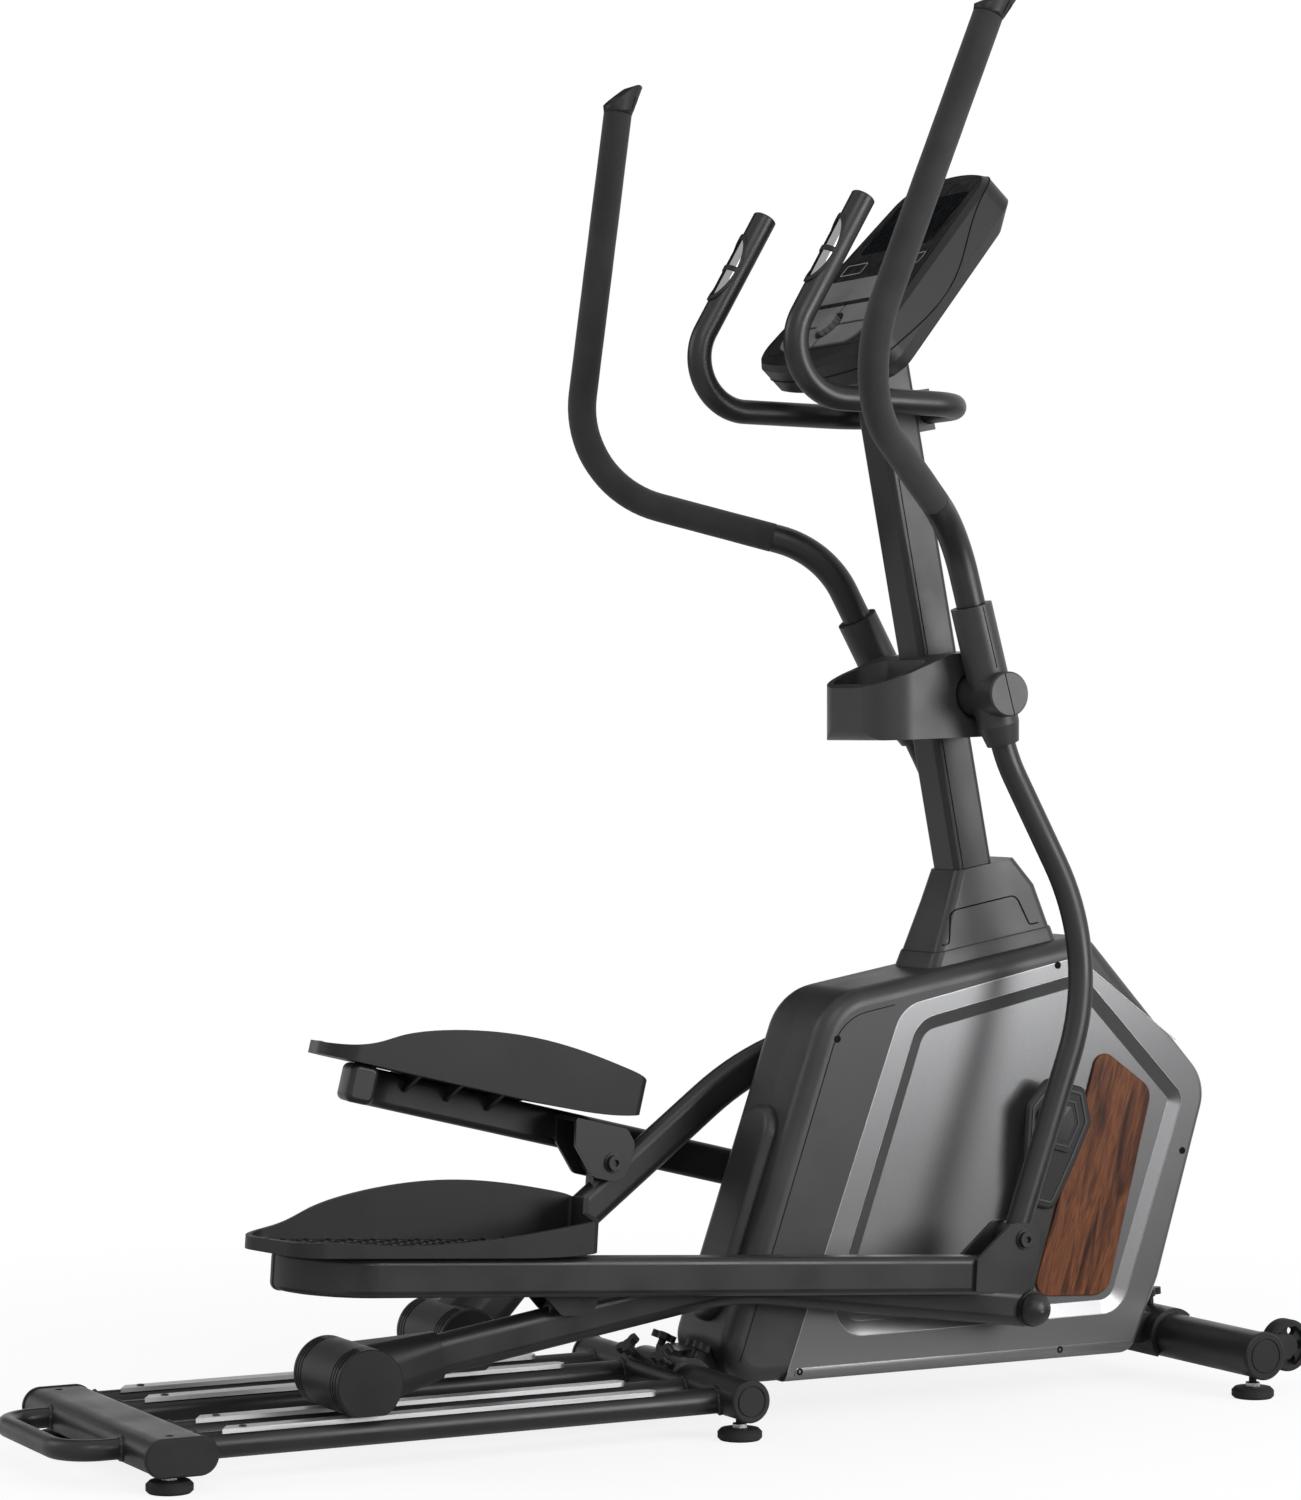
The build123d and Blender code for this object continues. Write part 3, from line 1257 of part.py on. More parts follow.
def pedal_arm(side):
    """Box tube with a bent rear end and cap, a front clevis, a bracket for the roller arm and both bolts."""
    half_height = PEDAL_TUBE_HEIGHT / 2
    half_width = PEDAL_TUBE_WIDTH / 2
    section = RectangleRounded(PEDAL_TUBE_WIDTH, PEDAL_TUBE_HEIGHT, 9)
    section -= RectangleRounded(PEDAL_TUBE_WIDTH - 5, PEDAL_TUBE_HEIGHT - 5, 6.5)
    path = pedal_tube_path()
    tube = sweep(Plane(origin=path @ 0, x_dir=(0, 1, 0), z_dir=path % 0) * section, path=path)
    plates = []
    for y in (PEDAL_PLANE - half_width - CLEVIS_PLATE, PEDAL_PLANE + half_width):
        plates.append(slab(clevis_outline(), y, y + CLEVIS_PLATE))
    sleeve_half = 24.0
    cheek = rounded(
        (
            (-66, half_height - 6, 4),
            (-58, -18, 8),
            (-24, -PEDAL_PIVOT_DROP - 24, 12),
            (24, -PEDAL_PIVOT_DROP - 24, 22),
            (26, half_height - 22, 14),
            (10, half_height - 6, 10),
        )
    )
    inboard = ROLLER_PLANE - sleeve_half - SIDE_GAP / 2 - CLEVIS_PLATE
    outboard = ROLLER_PLANE + sleeve_half + SIDE_GAP / 2
    bracket = [slab(cheek, inboard, inboard + CLEVIS_PLATE), slab(cheek, outboard, outboard + CLEVIS_PLATE)]
    bridge = rounded(((-64, half_height - 11, 0), (8, half_height - 11, 0), (8, half_height - 6, 0),
                      (-64, half_height - 6, 0)))
    bracket.append(slab(bridge, inboard, PEDAL_PLANE - half_width))
    weld = rounded(((-60, -14, 4), (8, -14, 4), (8, half_height - 6, 4), (-60, half_height - 6, 4)))
    bracket.append(slab(weld, outboard, PEDAL_PLANE - half_width))
    welded = fused([tube] + plates + bracket)
    pivot_z = -PEDAL_PIVOT_DROP
    welded -= bar(0, pivot_z, inboard - 1, outboard + CLEVIS_PLATE + 1, PIVOT_BOLT + 2 * SEAT)
    front_edges = (PEDAL_PLANE - half_width - CLEVIS_PLATE - 1, PEDAL_PLANE + half_width + CLEVIS_PLATE + 1)
    welded -= bar(PEDAL_FRONT_PIVOT, PEDAL_PIVOT_RISE, *front_edges, PIVOT_BOLT + 2 * SEAT)
    outer_face = PEDAL_PLANE + half_width + CLEVIS_PLATE
    front_bolt = bolt(PEDAL_FRONT_PIVOT, PEDAL_PIVOT_RISE, outer_face, front_edges[0] + 1, 1)
    rear_bolt = bolt(0, pivot_z, inboard, outboard + CLEVIS_PLATE, -1)
    cap = end_cap()
    return on_side(side, pedal_frame(side), group([welded, front_bolt, rear_bolt, cap]))


def end_cap():
    """Rounded plastic cap on the bent rear end of the pedal tube."""
    face = Plane(origin=(PEDAL_TUBE_REAR, PEDAL_TUBE_END, 0), x_dir=(1, 0, 0), z_dir=(0, -1, 0))
    cap = extrude(face * RectangleRounded(PEDAL_TUBE_WIDTH + 2, PEDAL_TUBE_HEIGHT + 2, 10), amount=12)
    cap = fillet(cap.faces().sort_by(Axis.Y)[0].edges(), 7)
    plug = 5 + 2 * SEAT
    inner = RectangleRounded(PEDAL_TUBE_WIDTH - plug, PEDAL_TUBE_HEIGHT - plug, 6)
    return cap + extrude(face * inner, amount=-2)


def sole(rear, lift):
    """Side-view line of the footplate's sole, raised by lift: level, then rising at the toe."""
    base = PEDAL_TUBE_HEIGHT / 2 + FOOTPLATE_LIFT + lift
    toe = (FOOTPLATE_TOE, base)
    front = (FOOTPLATE_FRONT_INNER, base + FOOTPLATE_TOE_RISE)
    return [Line((rear, base), toe), Spline(toe, front, tangents=((1, 0), (0.95, 0.3)))]


def footplate_side(rear, lift, top):
    """Side view of the footplate between its sole and the top points of a wall, front to rear."""
    low = sole(rear, lift)
    crest = Spline(*top, tangents=((-0.6, 0.8), (-1, -0.1)))
    return make_face(low + [Line(low[1] @ 1, top[0]), crest, Line(top[-1], low[0] @ 0)])


def pedal(side):
    """Moulded footplate: tread floor, tall arched inner wall, outer wall rising to the front."""
    base = PEDAL_TUBE_HEIGHT / 2 + FOOTPLATE_LIFT
    rear = FOOTPLATE_REAR_INNER
    front = FOOTPLATE_FRONT_INNER
    middle_y = (FOOTPLATE_OUTER + FOOTPLATE_INNER) / 2
    plan = rounded(
        (
            (rear, FOOTPLATE_INNER, 40),
            (front, FOOTPLATE_INNER, 12),
            (FOOTPLATE_FRONT_OUTER, FOOTPLATE_OUTER, 12),
            (FOOTPLATE_REAR_OUTER, FOOTPLATE_OUTER, 40),
        )
    )
    heel = (rear, base + 11)
    inner_top = ((front, base + 50), (-12, base + 65), (-205, base + 73), (-330, base + 43), heel)
    outer_top = ((front, base + 38), (-20, base + 41), (-150, base + 20), (-290, base + 12), heel)
    tall = extrude(plan, amount=4 * base)
    deep = extrude(offset(plan, amount=-FOOTPLATE_WALL), amount=4 * base)
    above = footplate_side(rear, FOOTPLATE_FLOOR, ((front, 4 * base), (rear, 4 * base)))
    shell = tall - (deep & slab(above, FOOTPLATE_INNER, FOOTPLATE_OUTER))
    inner_side = footplate_side(rear, -FOOTPLATE_SKIRT, inner_top)
    outer_side = footplate_side(rear, -FOOTPLATE_SKIRT, outer_top)
    inner_half = shell & slab(inner_side, FOOTPLATE_INNER - 1, middle_y)
    outer_half = shell & slab(outer_side, middle_y, FOOTPLATE_OUTER + 1)
    plate = inner_half + outer_half
    pad_rear = PEDAL_TUBE_REAR + PEDAL_TUBE_BEND + 6
    half_pad = PEDAL_TUBE_WIDTH / 2 - 1
    pad_edges = (PEDAL_PLANE - half_pad, PEDAL_PLANE + half_pad)
    plate += block(pad_rear, FOOTPLATE_TOE + 40, *pad_edges, PEDAL_TUBE_HEIGHT / 2, base)
    for x in (pad_rear + 10, pad_rear + 70, pad_rear + 130):
        rib = Polygon((0, 0), (0, -26), (-44, 0), align=None)
        inboard = PEDAL_PLANE - PEDAL_TUBE_WIDTH / 2 - SEAT
        gusset = Plane(origin=(x, inboard, base), x_dir=(0, 1, 0), z_dir=(1, 0, 0)) * rib
        plate += extrude(gusset, amount=5)
    return on_side(side, pedal_frame(side), plate)


# Roller arms, modelled from the roller axle towards the crank pin with y pointing outward


def arm_path():
    """Middle line of the humped arm, from the roller axle to the crank pin."""
    return FilletPolyline(
        (0, ROLLER_PLANE, 0),
        (ARM_HUMP_ALONG, ROLLER_PLANE, ARM_HUMP),
        (ROLLER_ARM_LENGTH, ROLLER_PLANE, 0),
        radius=ARM_HUMP_RADIUS,
    )


def oval_tube(height, width):
    """Solid flat-oval bar along the arm's middle line."""
    path = arm_path()
    plane = Plane(origin=path @ 0, x_dir=(0, 1, 0), z_dir=path % 0)
    return sweep(plane * SlotOverall(height, width, rotation=90), path=path)


def roller_arm(side):
    """Flat-oval arm with an axle boss, a pivot sleeve on top and a bushing for the crank pin."""
    double = 2 * OVAL_WALL
    arm = oval_tube(OVAL_HEIGHT, OVAL_WIDTH) - oval_tube(OVAL_HEIGHT - double, OVAL_WIDTH - double)
    sleeve_half = 24.0
    boss_half = RAIL_HALF_GAUGE - ROLLER_WIDTH / 2 - SIDE_GAP
    pieces = [
        arm,
        bar(0, 0, ROLLER_PLANE - boss_half, ROLLER_PLANE + boss_half, 52),
        bar(PIVOT_ALONG, PIVOT_ABOVE, ROLLER_PLANE - sleeve_half, ROLLER_PLANE + sleeve_half, 42),
    ]
    saddle_z = ARM_HUMP * PIVOT_ALONG / ARM_HUMP_ALONG + OVAL_HEIGHT / 2 - 8
    web = rounded(
        (
            (PIVOT_ALONG - 34, saddle_z - 2, 0),
            (PIVOT_ALONG + 34, saddle_z - 2, 0),
            (PIVOT_ALONG + 20, PIVOT_ABOVE, 0),
            (PIVOT_ALONG - 20, PIVOT_ABOVE, 0),
        )
    )
    pieces.append(slab(web, ROLLER_PLANE - 11, ROLLER_PLANE + 11))
    pin_inner = CRANK_ARM_INNER + CRANK_ARM_THICKNESS + SIDE_GAP
    pin_outer = ROLLER_PLANE + 18
    pieces.append(bar(ROLLER_ARM_LENGTH, 0, pin_inner, pin_outer, PIN_BUSHING))
    body = fused(pieces)
    body -= bar(0, 0, 0, 2 * ROLLER_PLANE, ROLLER_AXLE + 2 * FIT)
    body -= bar(PIVOT_ALONG, PIVOT_ABOVE, 0, 2 * ROLLER_PLANE, PIVOT_BOLT + 2 * FIT)
    cap = Pos(ROLLER_ARM_LENGTH, pin_outer, 0) * Rot(-90, 0, 0) * dome_cap(PIN_CAP / 2, 6, 15)
    return on_side(side, roller_frame(side), group([body, cap]))


def dome_cap(radius, skirt, rise):
    """Domed cap standing on local z."""
    sphere = (radius**2 + rise**2) / (2 * rise)
    low = math.degrees(math.asin((sphere - rise) / sphere))
    profile = make_face(
        [
            Line((0, 0), (radius, 0)),
            Line((radius, 0), (radius, skirt)),
            CenterArc((0, skirt + rise - sphere), sphere, low, 90 - low),
            Line((0, skirt + rise), (0, 0)),
        ]
    )
    return revolve(Plane.XZ * profile, axis=Axis.Z)


def roller_wheels(side):
    """Two rollers on one axle."""
    reach = RAIL_HALF_GAUGE + ROLLER_WIDTH / 2 + 6
    axle = bar(0, 0, ROLLER_PLANE - reach, ROLLER_PLANE + reach, ROLLER_AXLE)
    half = ROLLER_WIDTH / 2
    profile = Polygon(
        (0, -half),
        (ROLLER_RADIUS - 3, -half),
        (ROLLER_RADIUS, -half + 3),
        (ROLLER_RADIUS, half - 3),
        (ROLLER_RADIUS - 3, half),
        (0, half),
        align=None,
    )
    wheel = revolve(Plane.XZ * profile, axis=Axis.Z)
    pieces = [axle]
    for sign in (-1, 1):
        pieces.append(Pos(0, ROLLER_PLANE + sign * RAIL_HALF_GAUGE, 0) * Rot(90, 0, 0) * wheel)
    return on_side(side, roller_frame(side), fused(pieces))


def neck_plane(distance):
    """Plane across the arm at a distance from the roller axle."""
    slope = math.atan2(ARM_HUMP, ARM_HUMP_ALONG)
    along = Vector(math.cos(slope), 0, math.sin(slope))
    origin = Vector(0, ROLLER_PLANE, 0) + along * distance
    return Plane(origin=origin, x_dir=(0, 1, 0), z_dir=along)


def roller_shroud(side):
    """Drum-shaped cover over both rollers, open below, with vents and a neck round the arm."""
    inner = ROLLER_PLANE - SHROUD_HALF_LENGTH
    outer = ROLLER_PLANE + SHROUD_HALF_LENGTH
    drum = bar(0, 0, inner, outer, 2 * SHROUD_RADIUS)
    ends = drum.faces().sort_by(Axis.Y)
    drum = chamfer(ends[0].edges() + ends[-1].edges(), 2)
    neck = loft(
        [
            neck_plane(10) * RectangleRounded(96, 2 * SHROUD_RADIUS - 8, 30),
            neck_plane(SHROUD_NECK) * RectangleRounded(OVAL_WIDTH + 10, OVAL_HEIGHT + 8, 18),
        ]
    )
    shell = drum + neck
    shell -= bar(0, 0, inner + 3, outer - 3, 2 * (SHROUD_RADIUS - SHROUD_WALL))
    shell -= oval_tube(OVAL_HEIGHT + 2 * SEAT, OVAL_WIDTH + 2 * SEAT)
    for sign in (-1, 1):
        for i in range(VENT_COUNT):
            y = ROLLER_PLANE + sign * (SHROUD_HALF_LENGTH - 9 - i * VENT_PITCH)
            edges = (y - VENT_WIDTH / 2, y + VENT_WIDTH / 2)
            ring = bar(0, 0, *edges, 2 * SHROUD_RADIUS + 2)
            shell -= ring - bar(0, 0, *edges, 2 * (SHROUD_RADIUS - VENT_DEPTH))
    turn = POSE[side]["arm_angle"]
    shell -= Rot(0, turn, 0) * block(-80, 80, 0, 300, -SHROUD_RADIUS - 20, -ROLLER_RADIUS + 2)
    keep = max(shell.solids(), key=lambda solid: solid.volume)
    return on_side(side, roller_frame(side), keep)


# Pulse handlebar and console


def pulse_handlebar():
    """Bent bar in front of the mast with two hand grips, and the bracket that clamps it."""
    points = []
    for sign in (-1, 1):
        end = (PULSE_END[0], sign * PULSE_HALF_WIDTH, PULSE_END[1])
        knee = (PULSE_KNEE_X, sign * PULSE_HALF_WIDTH, PULSE_Z + 4)
        corner = (PULSE_FRONT_X, sign * PULSE_HALF_WIDTH, PULSE_Z)
        points.append((end, knee, corner))
    path = list(points[0]) + list(reversed(points[1]))
    radii = [PULSE_KNEE_RADIUS, PULSE_CORNER_RADIUS, PULSE_CORNER_RADIUS, PULSE_KNEE_RADIUS]
    outer = bent_tube(path, radii, PULSE_TUBE, 0)
    inner = bent_tube(path, radii, PULSE_TUBE - 4, 0)
    bracket = mast_frame(PULSE_Z) * block(MAST_DEPTH / 2 + SEAT, MAST_DEPTH / 2 + 26, -22, 22, -34, 20)
    return (outer + bracket) - inner


def pulse_sensors():
    """Two metal contact plates let into each grip, on the side of the palm."""
    plates = []
    heading = Vector(PULSE_END[0] - PULSE_KNEE_X, 0, PULSE_END[1] - PULSE_Z - 4).normalized()
    for sign in (-1, 1):
        for start, end in ((46, 92), (98, 144)):
            top = Vector(PULSE_END[0], sign * PULSE_HALF_WIDTH, PULSE_END[1]) - heading * start
            low = Vector(PULSE_END[0], sign * PULSE_HALF_WIDTH, PULSE_END[1]) - heading * end
            ring = rod(low, top, PULSE_TUBE + 2 * SEAT + 2.4) - rod(low, top, PULSE_TUBE + 2 * SEAT)
            back = Vector(-heading.Z, 0, heading.X)
            keep = Plane(origin=low + back * 7, x_dir=(0, 1, 0), z_dir=back)
            half = extrude(keep * Rectangle(60, 200), amount=40, dir=back)
            plates.append(ring & half)
    return group(plates)


def console_plane(depth):
    """Plane parallel to the console's face, the given depth behind it."""
    tilt = math.radians(CONSOLE_TILT)
    normal = Vector(-math.sin(tilt), 0, math.cos(tilt))
    origin = Vector(CONSOLE_X, 0, CONSOLE_Z) - normal * depth
    return Plane(origin=origin, x_dir=(0, -1, 0), z_dir=normal)


def console_outline(shrink):
    """Face outline of the console: wider below than above, with arched ends."""
    low = CONSOLE_LOW + shrink
    top = CONSOLE_TOP - shrink
    half_low = CONSOLE_LOW_HALF_WIDTH - shrink
    half_top = CONSOLE_TOP_HALF_WIDTH - shrink
    outline = make_face(
        [
            ThreePointArc((-half_low, low), (0, low - CONSOLE_LOW_ARCH), (half_low, low)),
            Line((half_low, low), (half_top, top)),
            ThreePointArc((half_top, top), (0, top + CONSOLE_TOP_ARCH), (-half_top, top)),
            Line((-half_top, top), (-half_low, low)),
        ]
    )
    return fillet(outline.vertices(), CONSOLE_CORNER - shrink / 2)


def console_body():
    """The whole console as one solid: rounded face edge, straight sides, tapered back."""
    face = console_plane(0) * console_outline(CONSOLE_FACE_INSET)
    rim = console_plane(CONSOLE_FACE_ROUND) * console_outline(0)
    shoulder = console_plane(CONSOLE_SIDE_DEPTH) * console_outline(0)
    back = console_plane(CONSOLE_DEPTH) * console_outline(CONSOLE_TAPER)
    return loft([face, rim]) + loft([rim, shoulder]) + loft([shoulder, back])


def console_cavity():
    """Space inside the console, behind the plate that carries the keys."""
    plate = console_plane(KEY_DEPTH + KEY_TRAVEL + CONSOLE_WALL) * console_outline(CONSOLE_WALL)
    shoulder = console_plane(CONSOLE_SIDE_DEPTH) * console_outline(CONSOLE_WALL)
    back = console_plane(CONSOLE_DEPTH - CONSOLE_WALL) * console_outline(CONSOLE_TAPER + CONSOLE_WALL)
    return loft([plate, shoulder]) + loft([shoulder, back])


def console_parting(drop):
    """Space in front of the parting line, an S-curve that runs deep along the lower sides."""
    tilt = math.radians(CONSOLE_TILT)
    up = Vector(math.cos(tilt), 0, math.sin(tilt))
    side = Plane(origin=(CONSOLE_X, 0, CONSOLE_Z), x_dir=up, z_dir=(0, -1, 0))
    low = CONSOLE_LOW - 2 * CONSOLE_LOW_ARCH
    top = CONSOLE_TOP + 2 * CONSOLE_TOP_ARCH
    curve = Spline(
        (low, -26 - drop),
        (CONSOLE_LOW + 20, -30 - drop),
        (-70, -43 - drop),
        (20, -42 - drop),
        (68, -25 - drop),
        (top, -16 - drop),
    )
    region = make_face([curve, Line((top, -16 - drop), (top, 60)), Line((top, 60), (low, 60)),
                        Line((low, 60), (low, -26 - drop))])
    return extrude(side * region, amount=2 * CONSOLE_LOW_HALF_WIDTH, both=True)


def key_face(quadrant):
    """Quadrant of the key pad round the dial, drawn on the console's face."""
    pad = RectangleRounded(KEY_PAD_WIDTH, KEY_PAD_HEIGHT, KEY_PAD_CORNER) - Circle(KEY_INNER)
    signs = ((1, 1), (-1, 1), (-1, -1), (1, -1))[quadrant]
    reach = KEY_PAD_WIDTH
    middle = (reach + KEY_SPLIT) / 2
    window = Pos(signs[0] * middle, signs[1] * middle) * Rectangle(reach, reach)
    return Pos(0, DIAL_Y) * (pad & window)


def console_front():
    """Front shell with wells for the dial, the keys and the display window."""
    body = console_body() & console_parting(0)
    body -= console_cavity()
    body -= extrude(console_plane(0) * window_outline(0), amount=-WINDOW_DEPTH)
    for quadrant in range(4):
        well = offset(key_face(quadrant), amount=GAP)
        body -= extrude(console_plane(0) * well, amount=-KEY_DEPTH - KEY_TRAVEL - GAP)
    dial_well = Pos(0, DIAL_Y) * Circle(DIAL_RADIUS + GAP)
    return body - extrude(console_plane(0) * dial_well, amount=-KEY_DEPTH - GAP)


def window_outline(shrink):
    """Display window in the upper part of the face."""
    return Pos(0, WINDOW_Y) * RectangleRounded(WINDOW_WIDTH - 2 * shrink, WINDOW_HEIGHT - 2 * shrink, 10)


def display_window():
    """Clear window over the display."""
    return extrude(console_plane(0) * window_outline(SEAT), amount=-WINDOW_DEPTH)


def console_back():
    """Back shell behind the parting line, with a collar that closes round the mast's top."""
    body = console_body()
    behind = body - console_parting(SEAM)
    collar = mast_frame(MAST_TOP_Z - 60) * extrude(
        RectangleRounded(MAST_DEPTH + 10, MAST_WIDTH + 10, MAST_CORNER + 5), amount=80
    )
    return (behind - console_cavity()) + (collar & behind) - mast_clearance(SEAT)


def dial():
    """Ribbed turning dial in the middle of the keys."""
    rim = Circle(DIAL_RADIUS) - PolarLocations(DIAL_RADIUS, 12) * Circle(1.6)
    body = extrude(console_plane(KEY_DEPTH) * (Pos(0, DIAL_Y) * rim), amount=KEY_DEPTH + 9)
    return body


def key(quadrant):
    """One sprung key."""
    return extrude(console_plane(KEY_DEPTH) * key_face(quadrant), amount=KEY_DEPTH + KEY_RISE)


# Clamp knobs


def clamp_knob(location):
    """Bolt with a three-armed hand knob, standing on local z."""
    stem = Cylinder(5, 14, align=(Align.CENTER, Align.CENTER, Align.MIN))
    knob = extrude(Circle(9) + PolarLocations(11, 3) * Circle(6.5), amount=9)
    return location * (stem + Pos(0, 0, 12) * knob)


def clamp_knobs():
    """Knobs that clamp the main frame's saddles to the stabilisers, and the handlebar's bolt."""
    knobs = []
    rear_radius = MID_DIAMETER / 2 + SEAT + SADDLE_WALL
    for y in (-46, 46):
        for angle in (-42, 24):
            spot = Pos(MID_X, y, MID_Z) * Rot(0, angle, 0) * Pos(0, 0, rear_radius)
            knobs.append(clamp_knob(spot))
    front_radius = FRONT_DIAMETER / 2 + SEAT + SADDLE_WALL
    knobs.append(clamp_knob(Pos(FRONT_X, 0, FRONT_Z) * Rot(0, -4, 0) * Pos(0, 0, front_radius)))
    return group(knobs)


# Build every node


def main():
    os.makedirs("parts", exist_ok=True)
    export("rail_frame", rail_frame())
    export("running_strips", running_strips())
    export("stabiliser_caps", stabiliser_caps())
    export("front_stabiliser", front_stabiliser())
    export("main_frame", main_frame())
    export("mast", mast())
    export("swing_axle", swing_axle())
    export("crank_axle", crank_axle())
    export("crank_bearings", crank_bearings())
    export("drive_pulley", drive_pulley())
    export("drive_belt", drive_belt())
    export("flywheel", flywheel())
    export("brake_arm", brake_arm())
    export("brake_motor", brake_motor())
    export("crank_arms", crank_arms())
    export("crank_covers", crank_covers())
    export("side_panels", group([side_panel(side) for side in SIDES]))
    export("wood_inlays", group([wood_inlay(side) for side in SIDES]))
    export("rear_cover", rear_cover())
    export("mast_boot", mast_boot())
    export("bottle_tray", bottle_tray())
    export("pulse_handlebar", pulse_handlebar())
    export("pulse_sensors", pulse_sensors())
    export("console_front", console_front())
    export("console_back", console_back())
    export("display_window", display_window())
    export("console_dial", dial())
    for quadrant in range(4):
        export(f"console_key_{quadrant + 1}", key(quadrant))
    export("clamp_knobs", clamp_knobs())
    for side, sign in zip(SIDES, (-1, 1)):
        export(f"side_cover_{side}", side_cover(side))
        export(f"swing_hub_{side}", swing_hub(side))
        export(f"upper_handle_{side}", upper_handle(side))
        export(f"grip_{side}", grip(side))
        export(f"lower_arm_{side}", lower_arm(side))
        export(f"pedal_arm_{side}", pedal_arm(side))
        export(f"pedal_{side}", pedal(side))
        export(f"roller_arm_{side}", roller_arm(side))
        export(f"roller_wheels_{side}", roller_wheels(side))
        export(f"roller_shroud_{side}", roller_shroud(side))
        export(f"transport_wheel_{side}", transport_wheel(sign))
        for place, (x, y) in (("rear", REAR_FOOT), ("mid", MID_FOOT), ("front", FRONT_FOOT)):
            export(f"foot_{place}_{side}", foot(x, sign * y))


if __name__ == "__main__":
    main()
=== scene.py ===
import json
import math

import bmesh
import bpy
from mathutils import Matrix, Vector, noise
from mathutils.bvhtree import BVHTree


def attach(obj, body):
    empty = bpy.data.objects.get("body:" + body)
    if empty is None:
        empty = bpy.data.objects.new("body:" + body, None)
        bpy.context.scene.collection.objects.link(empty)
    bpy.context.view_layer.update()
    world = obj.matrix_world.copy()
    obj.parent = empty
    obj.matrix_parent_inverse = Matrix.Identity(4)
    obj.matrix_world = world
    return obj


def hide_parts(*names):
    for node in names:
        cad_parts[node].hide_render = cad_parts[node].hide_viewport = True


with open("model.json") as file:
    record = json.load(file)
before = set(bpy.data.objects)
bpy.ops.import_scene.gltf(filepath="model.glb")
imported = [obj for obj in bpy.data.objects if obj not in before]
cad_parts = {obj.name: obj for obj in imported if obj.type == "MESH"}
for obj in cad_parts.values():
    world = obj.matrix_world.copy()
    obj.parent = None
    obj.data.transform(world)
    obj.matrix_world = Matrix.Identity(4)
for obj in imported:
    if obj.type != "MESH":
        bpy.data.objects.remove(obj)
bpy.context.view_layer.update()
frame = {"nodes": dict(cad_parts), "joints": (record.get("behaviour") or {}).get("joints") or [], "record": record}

# Looks of the elliptical trainer: finishes for every CAD node, and the small pieces that the CAD
# leaves out. Metres, in the CAD's frame: +X forward, +Y to the user's left, +Z up.
SIDES = {"right": -1, "left": 1}
NODES = frame["nodes"]
JOINT = {j["name"]: Vector(j["pos_m"]) for j in frame["joints"] if "pos_m" in j}

# Places and sizes that repeat the part's own
HOUSING_SIDE = 0.075
FIELD_CORNERS = ((0.192, 0.095, 0.042), (0.650, 0.098, 0.042), (0.751, 0.382, 0.024),
                 (0.587, 0.551, 0.028), (0.334, 0.497, 0.046))
PANEL_SEAM = ((0.1405, 0.056, 0), (0.311, 0.514, 0.050), (0.581, 0.571, 0.035), (0.738, 0.456, 0))
PANEL_FOOT = (0.150, 0.662, 0.0508, 0.0608)
COVER_LINE = ((0.072, 0.075, 0), (0.220, 0.502, 0.066), (0.300, 0.517, 0))
COVER_SCREWS = ((0.214, 0.476), (0.550, 0.561), (0.749, 0.308), (0.553, 0.0560), (0.158, 0.0560))
HOUSING_SLOPE = math.atan2(0.601 - 0.530, 0.604 - 0.205)
BOOT_FOOT = (0.469, 0.050, 0.577)
BOOT_WAIST = (0.472, 0.042, 0.655)
BOOT_HALF_LENGTHS, BOOT_CORNER = (0.097, 0.068), 0.012
CRANK_PIN_TURNS = {"right": math.radians(-105.3), "left": math.radians(74.7)}
COVER_FACE, COVER_STEP_FACE = 0.103, 0.107
COVER_OUTLINE = ((-0.062, -0.030, 0.012), (-0.020, -0.052, 0.012), (0.040, -0.040, 0.014),
                 (0.104, -0.024, 0.016), (0.104, 0.024, 0.016), (0.040, 0.040, 0.014),
                 (-0.020, 0.052, 0.012), (-0.062, 0.030, 0.012))
COVER_STEP = ((-0.046, -0.020, 0.008), (-0.014, -0.036, 0.008), (0.026, -0.026, 0.008),
              (0.026, 0.026, 0.008), (-0.014, 0.036, 0.008), (-0.046, 0.020, 0.008))
ROLLER_PLANE, SHROUD_RADIUS = 0.124, 0.042
VENTS = (0.058, 0.051, 0.044)
FOOT_NUT = (0.0150, 0.0200, 0.0088)
RAILS = (0.083, 0.165)
RAIL_RADIUS = 0.016
RAIL_Z = 0.046
REAR_X, REAR_Z = -0.730, 0.043
REAR_HALF_FLAT, REAR_RADIUS = 0.0225, 0.0215
MID_X, MID_Z, MID_RADIUS = 0.008, 0.050, 0.025
HANDLE_Y, HANDLE_RADIUS = 0.120, 0.0125
STRIP_TOP, STRIP_REAR = 0.065, -0.668
PEDAL_LINK, PEDAL_DROP, PEDAL_RISE = 0.606, 0.028, 0.047
FOOT_FLOOR = 0.034
FOOT_TOE, FOOT_FRONT, FOOT_TOE_RISE = -0.150, 0.025, 0.015
FOOT_REAR, FOOT_INNER, FOOT_REAR_SLOPE = -0.405, 0.09, 0.30
HUB_LEAN = math.radians(16)
KNEE_AT, GRIP_START_PAST_KNEE, BEND_RADIUS = 0.220, 0.070, 0.140
SWING_PLANE = 0.120
HUB_RISE = Vector((-math.sin(HUB_LEAN), 0, math.cos(HUB_LEAN)))
KNEE = HUB_RISE * KNEE_AT + Vector((0, SWING_PLANE, 0))
KNEE_RADIUS, HUB_TOP = 0.130, 0.118
HUB_END, HUB_BOSS_RADIUS, HUB_SLEEVE_RADIUS = 0.163, 0.029, 0.027
CAP_FLARE, CAP_FLARE_AT = 0.014, 0.050
